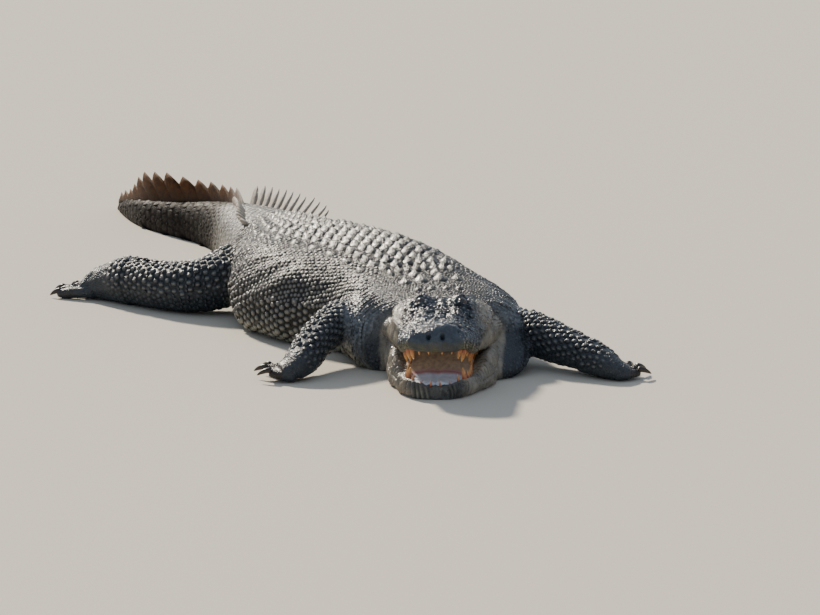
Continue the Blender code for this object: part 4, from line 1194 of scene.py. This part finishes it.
def neck_shape(along, v):
    """Half length and height of one scale of the neck: flatter on the sides."""
    half_long = chance.uniform(0.0050, 0.0068)
    return half_long, chance.uniform(0.0030, 0.0054 - 0.0018 * min(1.0, v * 2.2))


neck_sites = scale_rows(
    body, NECK_START, NECK_END, 0.0122, lambda a: 0.0, lambda a: 0.90, neck_width, neck_shape
)
lay_scales("neck_scales", body, ROUND_DOME, clear_of_scutes(neck_sites), body_unwrap, worn=0.84)
upper_sites = scale_rows(
    body, NECK_END, HIPS, 0.0185, lambda a: 0.0, lambda a: 0.47,
    lambda v: 0.0185, lambda a, v: (0.0096, 0.0048 * chance.uniform(0.75, 1.25)), loose=0.18,
)  # fmt: skip
lay_scales("upper_flank_scales", body, ROUND_DOME, clear_of_scutes(upper_sites), body_unwrap)
flank_sites = scale_rows(
    body, NECK_END, HIPS, 0.0290, lambda a: 0.47, lambda a: 0.70,
    lambda v: 0.024 + 0.050 * max(0.0, v - 0.5), lambda a, v: (0.0150, 0.0086), loose=0.14,
)  # fmt: skip
lay_scales("flank_scales", body, ROUND_DOME, flank_sites, body_unwrap)
belly_sites = scale_rows(
    body, 0.560, HIPS, 0.0400, lambda a: 0.70 if a > NECK_END else 0.86, lambda a: 0.985,
    lambda v: 0.044, lambda a, v: (0.0205, 0.0068), loose=0.08,
)  # fmt: skip
lay_scales("belly_plates", body, SQUARE_DOME, belly_sites, body_unwrap)
tail_sites = scale_rows(
    body, HIPS, TAIL_LAST, 0.0420, lambda a: 0.0, lambda a: 0.98,
    lambda v: 0.036, lambda a, v: (0.0210, 0.0036 - 0.0010 * float(fade(a, 2.7, 3.2))), loose=0.05,
)  # fmt: skip
tail_sites = [site for site in tail_sites if site[0] > HIPS + 0.005]
tail_sites = [site for site in tail_sites if abs(site[1]) < 0.98 - 0.25 * fade(site[0], 3.4, 3.7)]
# Past it the plates are less worn and so darker, part of the tail end's painted shade.
TAIL_DARKENS = 2.85  # distance along the backbone from which the tail's plates are less worn
thick_tail = [site for site in tail_sites if site[0] < TAIL_DARKENS]
thin_tail = [site for site in tail_sites if site[0] >= TAIL_DARKENS]
lay_scales("tail_scales", body, TAIL_PLATE, thick_tail, body_unwrap, worn=0.88)
lay_scales("tail_end_scales", body, TAIL_PLATE, thin_tail, body_unwrap, reach=0.008, worn=0.80)

# ------------------------------------------------------------------ head scales
# Horny knobs fused to the bone of snout and skull, each a low dome of its own size, crowded on the crown and
# finer down the sides; the lips, the jaws and the cheeks stay bare.
def head_unwrap(along, v):
    """Each knob's place in the unwrap."""
    return np.stack([along * UNWRAP, 0.02 + (v + 1) * 0.08], axis=-1)


def head_knobs(start, end, v_limit, pitch, high):
    """Sites of knobs of uneven size in rows across the head, between two distances from the snout tip."""
    sites = []
    for i in range(int((end - start) / pitch)):
        along = start + (i + 0.5) * pitch
        girth = float(skull_chart.half_girth(along))
        w = -v_limit(along) * girth + chance.uniform(0, pitch)
        while w < v_limit(along) * girth:
            size = pitch * chance.uniform(0.34, 0.62)
            at = along + chance.uniform(-0.3, 0.3) * pitch
            wide = size * chance.uniform(0.8, 1.2)
            sites.append((at, w / girth, size, wide, high * chance.uniform(0.5, 1.5)))
            w += size * 2.1
    return sites


def knob_limit(along):
    """How far down each side the knobs reach, as a share of the head's half girth."""
    return float(0.52 - 0.16 * fade(along, 0.24, 0.38))


def off_nostrils(site):
    """True where a knob stands clear of the smooth skin round the nostrils."""
    return math.hypot(site[0] - 0.034, site[1] * float(skull_chart.half_girth(site[0]))) > 0.055


knobs = [site for site in head_knobs(0.022, 0.56, knob_limit, 0.0135, 0.0034) if off_nostrils(site)]
lay_scales("head_scales", skull_chart, ROUND_DOME, knobs, head_unwrap)

# ------------------------------------------------------------------ limb scales
# Rows of horny scales round each leg, keeled and largest down its outer side, then fine grains over the hand
# or foot. They are laid on a chart found by looking out from the leg's axis all round.
def axis_chart(axis_points, tree, start, step, far=0.25):
    """A limb's or toe's surface, found by looking out from its axis all round."""
    axis, gone = smooth_line(axis_points)
    rows = np.arange(start, gone[-1] - 0.003, step)
    turns = np.linspace(-math.pi, math.pi, 97)
    left, right = [], []
    for along in rows:
        centre, before, after = (
            np.array([np.interp(along + away, gone, line) for line in axis.T]) for away in (0, -0.03, 0.03)
        )
        ahead = unit(after - before)
        side = unit(np.cross(ahead, (0.0, 0.0, 1.0)))
        up = np.cross(side, ahead)
        ring = []
        for turn in turns:
            look = Vector(up * math.cos(turn) + side * math.sin(turn))
            hit = tree.ray_cast(Vector(centre), look, far)
            ring.append(hit[0] if hit[0] is not None else Vector(centre) + look * 0.05)
        ring = np.array(ring)
        for half, sides in ((ring[48:], right), (ring[48::-1], left)):
            steps = np.concatenate([[0], np.cumsum(np.linalg.norm(np.diff(half, axis=0), axis=1))])
            even = np.linspace(0, steps[-1], 41)
            sides.append(np.stack([np.interp(even, steps, line) for line in half.T], axis=1))
    points = np.concatenate([np.array(left)[:, :0:-1], np.array(right)], axis=1)
    made = Chart(rows, points)
    middle = len(rows) // 2
    outwards = points[middle, 40] - points[middle].mean(axis=0)
    made.normals *= np.sign(np.sum(outwards * made.normals[middle, 40]))
    return made


LEG_START = 0.045  # distance along a leg's axis at which its scales begin
for limb in LIMBS:
    chart = axis_chart([np.array(SHIFT) + point for point in LIMB_AXES[limb]], limb_trees[limb], 0.04, 0.007)
    hind = limb.endswith("hind")
    pitch = 0.0230 if hind else 0.0215

    def limb_unwrap(along, v, place=list(LIMBS).index(limb)):
        """Each scale's place in the unwrap of one leg."""
        return np.stack([0.02 + 0.24 * place + (v + 1) * 0.05, along * UNWRAP + 0.75], axis=-1)

    end = chart.rows[-1]
    ankle = end - (0.115 if hind else 0.050)

    def low_at_ends(along, stop=ankle):
        """Share of the scales' full height: less beside the body and above the palm."""
        rooted = 0.5 + 0.5 * fade(along, LEG_START, LEG_START + 0.05)
        return float((1 - 0.6 * fade(along, stop - 0.05, stop)) * rooted)

    top = scale_rows(
        chart, LEG_START, ankle, pitch, lambda a: 0.0, lambda a: 0.50,
        lambda v: pitch * 1.15, lambda a, v: (pitch * 0.56, 0.0084 * low_at_ends(a)), loose=0.06,
    )  # fmt: skip
    ridges = np.array([0.0024 * (1 - site[1] ** 2 * 3) * chance.uniform(0.6, 1.2) for site in top]).clip(0)
    # The front legs' keeled scales get less pale horn than the hind legs': painted shade of the body over
    # them.
    lay_scales(
        f"{limb}_keeled_scales", chart, KEELED, top, limb_unwrap,
        keel=ridges, rake=0.2, reach=0.045, worn=1.0 if hind else 0.86,
    )  # fmt: skip
    under = scale_rows(
        chart, LEG_START, ankle, pitch * 0.9, lambda a: 0.50, lambda a: 0.98,
        lambda v: pitch * 0.95, lambda a, v: (pitch * 0.47, 0.0040 * low_at_ends(a)), loose=0.10,
    )  # fmt: skip
    lay_scales(f"{limb}_scales", chart, ROUND_DOME, under, limb_unwrap, reach=0.045, worn=0.70)
    grains = scale_rows(
        chart, ankle - 0.006, end - 0.004, 0.0088, lambda a: 0.0, lambda a: 0.98,
        lambda v: 0.0090, lambda a, v: (0.0043, 0.0021),
    )  # fmt: skip
    lay_scales(f"{limb}_foot_grains", chart, ROUND_DOME, grains, limb_unwrap, sink=0.0010, worn=0.72)

# ------------------------------------------------------------------ toe plates
# Each toe bears one row of broad horny plates along its top and grains down its sides, as far as its claw,
# laid on a chart found in the same way as the leg's.
for name in claw_nodes:
    base, tip, _ = claw_axes[name]
    limb = name.split("_digit")[0]
    palm = np.array(SHIFT) + LIMB_AXES[limb][-1]
    palm[2] = 0.5 * (palm[2] + base[2])
    toe_axis = [palm + (base - palm) * share for share in (0.0, 0.5, 0.98)]
    chart = axis_chart(toe_axis, limb_trees[limb], 0.02, 0.005, far=0.05)

    def toe_unwrap(along, v, place=claw_nodes.index(name)):
        """Each plate's place in the unwrap of one toe."""
        return np.stack([0.03 + 0.075 * place + (v + 1) * 0.02, along * UNWRAP + 0.93], axis=-1)

    plates, grains = [], []
    for along in np.arange(0.024, chart.rows[-1], 0.0098):
        wide = 0.36 * float(chart.half_girth(along))
        plates.append((along, 0.0, 0.0053, min(wide, 0.011), 0.0026))
        for v in (-0.66, -0.42, 0.42, 0.66):
            grains.append((along + chance.uniform(-0.002, 0.002), v, 0.0040, 0.0040, 0.0016))
    lay_scales(
        f"{name}_toe_plates", chart, ROUND_DOME, plates + grains, toe_unwrap,
        sink=0.0012, reach=0.008, worn=0.85,
    )  # fmt: skip

# ------------------------------------------------------------------ leg root scales
# Small domed scales of the same horn where the legs swell out of the body. They fill what the rows of the
# body and of the legs leave bare there, and stand straight on the hide.
ROOT_GRAIN = 0.0085  # half size of one scale
leg_roots = ((fillet > 0.02) | (skin_marks["limb"] > 0.02)) & (skin_points[:, 2] > 0.03)
leg_roots &= (skin_marks["hood"] < 0.1) & (skin_marks["face"] < 0.2)
for limb, palm in PALMS.items():
    leg_roots &= np.linalg.norm(skin_points - np.array(palm), axis=1) > (0.26 if "hind" in limb else 0.19)
taken = scales_tree()
bare_roots = np.empty((0, 3))
for point in skin_points[leg_roots]:
    _, i, gap = taken.find(Vector(point))
    if gap > 0.5 * ROOT_GRAIN + laid_scales[i][1]:
        if not (np.sum((bare_roots - point) ** 2, axis=1) < (1.7 * ROOT_GRAIN) ** 2).any():
            bare_roots = np.vstack([bare_roots, point])
root_along, root_across = place_on_body(bare_roots)
root_v = np.clip(root_across / body.half_girth(root_along), -1, 1)
root_sites = [(along, v, ROOT_GRAIN, ROOT_GRAIN, 0.0036) for along, v in zip(root_along, root_v)]
lay_scales("leg_root_scales", body, ROUND_DOME, root_sites, body_unwrap, worn=0.82, roots=bare_roots)

# ------------------------------------------------------------------ tail crest
# Thin upright blades of horn, pale over the tail's root and amber towards its end: two rows leaning apart,
# then one tall raked row. Each blade is swept up through rings from a foot sunk in the hide.
# Distance along the backbone, height of the crest
CREST_HEIGHT = (
    (1.92, 0.034), (2.10, 0.050), (2.40, 0.060), (2.72, 0.066), (2.80, 0.046), (2.98, 0.052), (3.14, 0.066),
    (3.24, 0.080), (3.34, 0.094), (3.50, 0.096), (3.60, 0.066), (3.70, 0.036), (3.95, 0.016),
)  # fmt: skip
CREST_FLARE = 1.15  # how far the two rows lean apart for each metre of height
BLADE_RISE = np.array((0.0, 0.12, 0.30, 0.50, 0.70, 0.86, 1.0))
BLADE_SPREAD = np.array((1.0, 0.99, 0.93, 0.80, 0.60, 0.40, 0.10))
BLADE_SECTION = np.array(
    ((-1, 0), (-0.55, 0.8), (0, 1), (0.55, 0.8), (1, 0), (0.55, -0.8), (0, -1), (-0.55, -0.8))
)
# First and last distance along the tail, number of blades, and sides of each row
CREST_ROWS = (((1.920, 2.720, 12), (-1, 1)), ((2.800, 3.920, 14), (0,)))


def join_rings(made, rows):
    """Adds the faces between each ring of points and the next."""
    for low_row, high_row in zip(rows, rows[1:]):
        for k in range(len(low_row)):
            j = (k + 1) % len(low_row)
            made.faces.new((low_row[k], low_row[j], high_row[j], high_row[k]))


def finish_rings(name, made):
    """Turns finished rings and caps into one smooth piece, facing outwards."""
    bmesh.ops.recalc_face_normals(made, faces=made.faces)
    mesh = bpy.data.meshes.new(name)
    made.to_mesh(mesh)
    made.free()
    return add_object(name, mesh)


def crest_blade(along, side, length):
    """A blade of horn as rings of points round its thickness, from its foot to its tip."""
    height = float(read(CREST_HEIGHT, along)[0]) * chance.uniform(0.92, 1.06) * (0.45 if side < 0 else 1.0)
    apart = 1 - 0.8 * min(1.0, max(0.0, (along - 2.0) / 0.8))
    across = side * (0.55 * apart + 0.10) * read(BODY, along)[0]
    spreads = BLADE_SPREAD if side == 0 else BLADE_SPREAD**0.5
    rake = 1.0 if side == 0 else 0.35
    under = np.minimum(along + BLADE_SECTION[:, 0] * length * 0.5, 4.0)
    foot = body.place(under, across / body.half_girth(under), np.zeros(len(under)))[:, 2]
    rings = []
    for rise, spread in zip(BLADE_RISE, spreads):
        up = rise * 1.25 * height
        back = along + BLADE_SECTION[:, 0] * spread * length * 0.5 + up * rake + 0.10 * height * rise**2
        thick = (0.0085 if side == 0 else 0.0130) * (1 - 0.35 * rise) * (1 - 0.7 * rise**6)
        out = across + BLADE_SECTION[:, 1] * thick + side * CREST_FLARE * apart * up
        rings.append(on_body(back, out, foot - 0.25 * height + up))
    return rings


blades = bmesh.new()
crest_rise = []
for (first, last, count), sides in CREST_ROWS:
    pitch = (last - first) / (count - 1)
    for i in range(count):
        for side in sides:
            rings = crest_blade(first + pitch * i, side, (1.15 if side else 1.85) * pitch)
            rows = [[blades.verts.new(point) for point in ring] for ring in rings]
            crest_rise += [rise for rise in BLADE_RISE for _ in rings[0]]
            join_rings(blades, rows)
            blades.faces.new(rows[0][::-1])
            blades.faces.new(rows[-1])
crest = finish_rings("tail_crest", blades)
crest_marks = markings(mesh_points(crest.data))
crest_rise = 0.50 + 0.5 * np.array(crest_rise)
mark_hide(crest.data, crest_marks, rise=crest_rise, tone=np.full(len(crest_rise), 0.8))
# Thin horn: duller than the scales, pale where it is thick and amber where the light gets into it
crest_horn = skin.copy()
crest_horn.name = "tail_crest_horn"
tree = crest_horn.node_tree
pale = blend(tree, patches(tree, 0.012, 4, 0.4, 0.7), "#B3AA9C", "#8C8376")
amber = blend(tree, patches(tree, 0.020, 4, 0.4, 0.7), "#52300F", "#331E0C")
foot = add_node(tree, "MapRange", {"Value": mark(tree, "rise")}, From_Min=0.50, From_Max=0.85)
amber = blend(tree, foot.outputs[0], "#332A22", amber)
colour = blend(tree, mark(tree, "tail"), pale, amber)
crest_shader = tree.nodes["Principled BSDF"]
tree.links.new(colour, crest_shader.inputs["Base Color"])
tree.links.remove(crest_shader.inputs["Roughness"].links[0])
crest_shader.inputs["Roughness"].default_value = 0.62
crest.data.materials.append(crest_horn)
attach(crest, "root")

# ------------------------------------------------------------------ teeth
# Blunt cones of worn ivory, stained orange-brown from the gum upwards, standing in both jaws' margins.
TOOTH_GROWTH = 1 / 0.82  # how much longer every tooth is made than the tables say
# Distance from the snout tip, share of the way out to the margin's line, length in millimetres
UPPER_TEETH = (
    (0.006, 0.42, 10), (0.012, 0.80, 14), (0.028, 0.90, 30), (0.052, 0.90, 36), (0.084, 0.88, 22),
    (0.125, 0.88, 20), (0.158, 0.90, 28), (0.190, 0.90, 34), (0.224, 0.90, 24), (0.258, 0.89, 22),
    (0.292, 0.89, 24), (0.326, 0.88, 20), (0.358, 0.88, 17),
)  # fmt: skip
LOWER_TEETH = (
    (0.010, 0.30, 13), (0.018, 0.72, 10), (0.036, 0.90, 17), (0.062, 0.94, 33), (0.098, 0.94, 20),
    (0.132, 0.94, 18), (0.166, 0.95, 22), (0.200, 0.95, 24), (0.236, 0.95, 28), (0.272, 0.95, 22),
    (0.306, 0.95, 18),
)  # fmt: skip
teeth = bmesh.new()
tooth_root = []


def add_tooth(along, across, height, length, up):
    """A curved cone from inside the gum to its tip; its tip leans in and back."""
    radius = 0.5 * (0.38 * length + 0.003)
    turn = np.arange(10) * math.pi / 5
    rows = []
    for step in range(8):
        reach = step / 7
        size = radius * (1 - reach**1.6) ** 0.62 if step < 7 else radius * 0.08
        rise = -0.006 + (length + 0.006) * reach
        lean = 0.16 * length * reach**2
        back = along + np.cos(turn) * size + lean * 0.6
        ring = on_body(back, across + np.sin(turn) * size - math.copysign(lean, across), height + up * rise)
        rows.append([teeth.verts.new(point) for point in ring])
        tooth_root.extend([reach] * 10)
    join_rings(teeth, rows)
    teeth.faces.new(rows[0])
    teeth.faces.new(rows[-1])


for row, up in ((UPPER_TEETH, -1), (LOWER_TEETH, 1)):
    for along, share, millimetres in row:
        for side in (-1, 1):
            if up < 0:
                out = 0.92 * float(read(UPPER_JAW, along)[0])
                height = float(lip_height(along) + jaw_lift(along)) + 0.003
            else:
                out = float(rim_share(along)) * float(read(LOWER_JAW, along)[0 if side < 0 else 1])
                height = float(lip_height(along)) - 0.003
            length = 0.001 * millimetres * TOOTH_GROWTH * chance.uniform(0.85, 1.1)
            add_tooth(along, side * out * share, height, length, up)
teeth_piece = finish_rings("teeth", teeth)
mark_vertices(teeth_piece.data, root=np.array(tooth_root))
# Worn enamel: hard and shining, ivory at the tip and stained orange-brown by tartar towards the gum
ivory, tree, ivory_shader = new_material("stained_tooth_enamel", 0.28)
stain = add_node(tree, "MapRange", {"Value": mark(tree, "root")}, From_Min=0.15, From_Max=0.75)
colour = blend(tree, stain.outputs[0], "#8C350A", "#D29A58")
colour = blend(tree, patches(tree, 0.006, 3, 0.5, 0.8), colour, "#7A2A0A")
tree.links.new(colour, ivory_shader.inputs["Base Color"])
ivory_shader.inputs["IOR"].default_value = 1.62
teeth_piece.data.materials.append(ivory)
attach(teeth_piece, "root")

# ------------------------------------------------------------------ tongue
# A broad soft pad that fills the floor of the open mouth, pale and wet, with a shallow groove along its
# middle and a fleshy valve across its root. It is one closed sheet, domed above and flat below.
tongue_rows = np.linspace(0.050, 0.400, 48)
tongue_share = np.linspace(-1, 1, 33)
row, share = np.meshgrid(tongue_rows, tongue_share, indexing="ij")
edge = (0.93 + 0.12 * fade(row, 0.16, 0.24)) * rim_share(row) * read(LOWER_JAW, row)[..., 0]
edge = edge * np.sqrt(np.clip(1 - ((0.16 - np.minimum(row, 0.16)) / 0.112) ** 2, 0.01, 1))
pits = noise(np.stack([row, share * edge, 0 * row], -1) / 0.02, 21)
swell = 0.012 * (1 - share**2) - 0.004 * bell(share, 0.12) + 0.0015 * pits
bed = lip_height(row) - 0.022 + 0.058 * fade(row, 0.15, 0.33)
top = on_body(row, share * edge, bed + swell)
under = on_body(row, share * edge * 0.96, bed - 0.016)
ring = np.concatenate([top, under[:, ::-1], top[:, :1]], axis=1)
tongue = tube_mesh("tongue_pad", ring)
# Moist flesh: pale and shining, buff on the valve and pink in the fold before it
flesh_pink, tree, flesh_shader = new_material("moist_tongue", 0.30)
pad = blend(tree, patches(tree, 0.020, 5, 0.35, 0.70), "#DFE8F4", "#C4CAD6")
valve = blend(tree, patches(tree, 0.014, 5, 0.35, 0.70), "#CDB497", "#A48B72")
colour = blend(tree, mark(tree, "valve"), pad, valve)
colour = blend(tree, mark(tree, "fold"), colour, "#B5726A")
tree.links.new(colour, flesh_shader.inputs["Base Color"])
buds = add_node(tree, "TexVoronoi", {"Vector": place_in(tree)}, Scale=320)
bump = add_node(tree, "Bump", {"Height": buds.outputs[0]}, Strength=0.35, Distance=0.001)
tree.links.new(bump.outputs[0], flesh_shader.inputs["Normal"])
tongue_along = place_on_body(mesh_points(tongue.data))[0]
mark_vertices(tongue.data, valve=fade(tongue_along, 0.185, 0.205), fold=bell(tongue_along - 0.190, 0.010))
tongue.data.materials.append(flesh_pink)
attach(tongue, "root")
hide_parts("tongue")

# ------------------------------------------------------------------ eyes
# Two glassy balls with upright slit pupils and dark amber irises, bedded under the brows and painted darker
# as their shade. Each is a sphere whose vertices are marked by how near they are to the way it looks.
EYE_TURN = 1.10  # how far each eye looks out to its side, in radians
# Wet glassy eye: nearly black, its dark amber deepened as painted shade of the brow, with a sharp small
# highlight
eye_material, tree, eye_shader = new_material("wet_eye", 0.08)
colour = blend(tree, mark(tree, "iris"), "#17120E", "#3C2B16")
colour = blend(tree, mark(tree, "slit"), colour, "#050505")
tree.links.new(colour, eye_shader.inputs["Base Color"])
eye_shader.inputs["Coat Weight"].default_value = 0.6
for side, name in ((-1, "right_eye"), (1, "left_eye")):
    centre = Vector(on_body(EYE_ALONG, side * EYE_ACROSS, EYE_HEIGHT))
    bpy.ops.object.select_all(action="DESELECT")
    bpy.ops.mesh.primitive_uv_sphere_add(segments=48, ring_count=32, radius=EYE_RADIUS, location=centre)
    bpy.ops.object.transform_apply(location=True, rotation=True, scale=True)
    ball = bpy.context.object
    ball.name = ball.data.name = name + "_ball"
    look = Vector((side * math.sin(EYE_TURN), -math.cos(EYE_TURN), 0.28)).normalized()
    across_look = look.cross(Vector((0, 0, 1))).normalized()
    off = unit(mesh_points(ball.data) - np.array(centre))
    toward = off @ np.array(look)
    sideways = off @ np.array(across_look)
    slit = (1 - fade(np.abs(sideways), 0.07, 0.12)) * fade(toward, 0.76, 0.84)
    mark_vertices(ball.data, iris=fade(toward, 0.70, 0.80), slit=slit)
    ball.data.shade_smooth()
    ball.data.materials.append(eye_material)
    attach(ball, "root")
    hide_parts(name)

# ------------------------------------------------------------------ claws
# Curved, blunt claws of dark horn, each swept through rings from just inside the toe to a little beyond its
# solid's tip.
CLAW_GROWTH = {"front": (1.45, 1.16), "hind": (1.25, 1.06)}  # thickness and length, as shares of the solid's
claws = bmesh.new()
claw_share = []
for name in claw_nodes:
    start, finish, radius = claw_axes[name]
    thicker, longer = CLAW_GROWTH[name.split("_")[1]]
    radius *= thicker
    start = start + (start - finish) * 0.30
    length = np.linalg.norm(finish - start)
    ahead = unit(finish - start)
    side = unit(np.cross(ahead, (0.0, 0.0, 1.0)))
    up = np.cross(side, ahead)
    rows = []
    for step in range(10):
        t = step / 9
        centre = start + ahead * length * longer * t
        centre = centre + up * length * (0.34 * t * (1 - t) - 0.04 * t)
        size = radius * (1 - t**2) ** 0.8 + 0.0012
        turn = np.arange(12) * math.pi / 6
        ring = centre + side * (np.cos(turn) * size * 0.85)[:, None] + up * (np.sin(turn) * size)[:, None]
        ring[:, 2] = np.maximum(ring[:, 2], 0.0004)
        rows.append([claws.verts.new(point) for point in ring])
        claw_share.extend([t] * 12)
    join_rings(claws, rows)
    claws.faces.new(rows[0])
    claws.faces.new(rows[-1])
claw_piece = finish_rings("claws", claws)
mark_vertices(claw_piece.data, root=np.array(claw_share))
# Claw horn: dark and smooth, with a soft shine along its ridge
horn, tree, horn_shader = new_material("dark_claw_horn", 0.33)
colour = blend(tree, mark(tree, "root"), "#211B17", "#382A20")
colour = blend(tree, patches(tree, 0.004, 3, 0.5, 0.8), colour, "#1A1715")
tree.links.new(colour, horn_shader.inputs["Base Color"])
claw_piece.data.materials.append(horn)
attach(claw_piece, "root")
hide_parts(*claw_nodes)
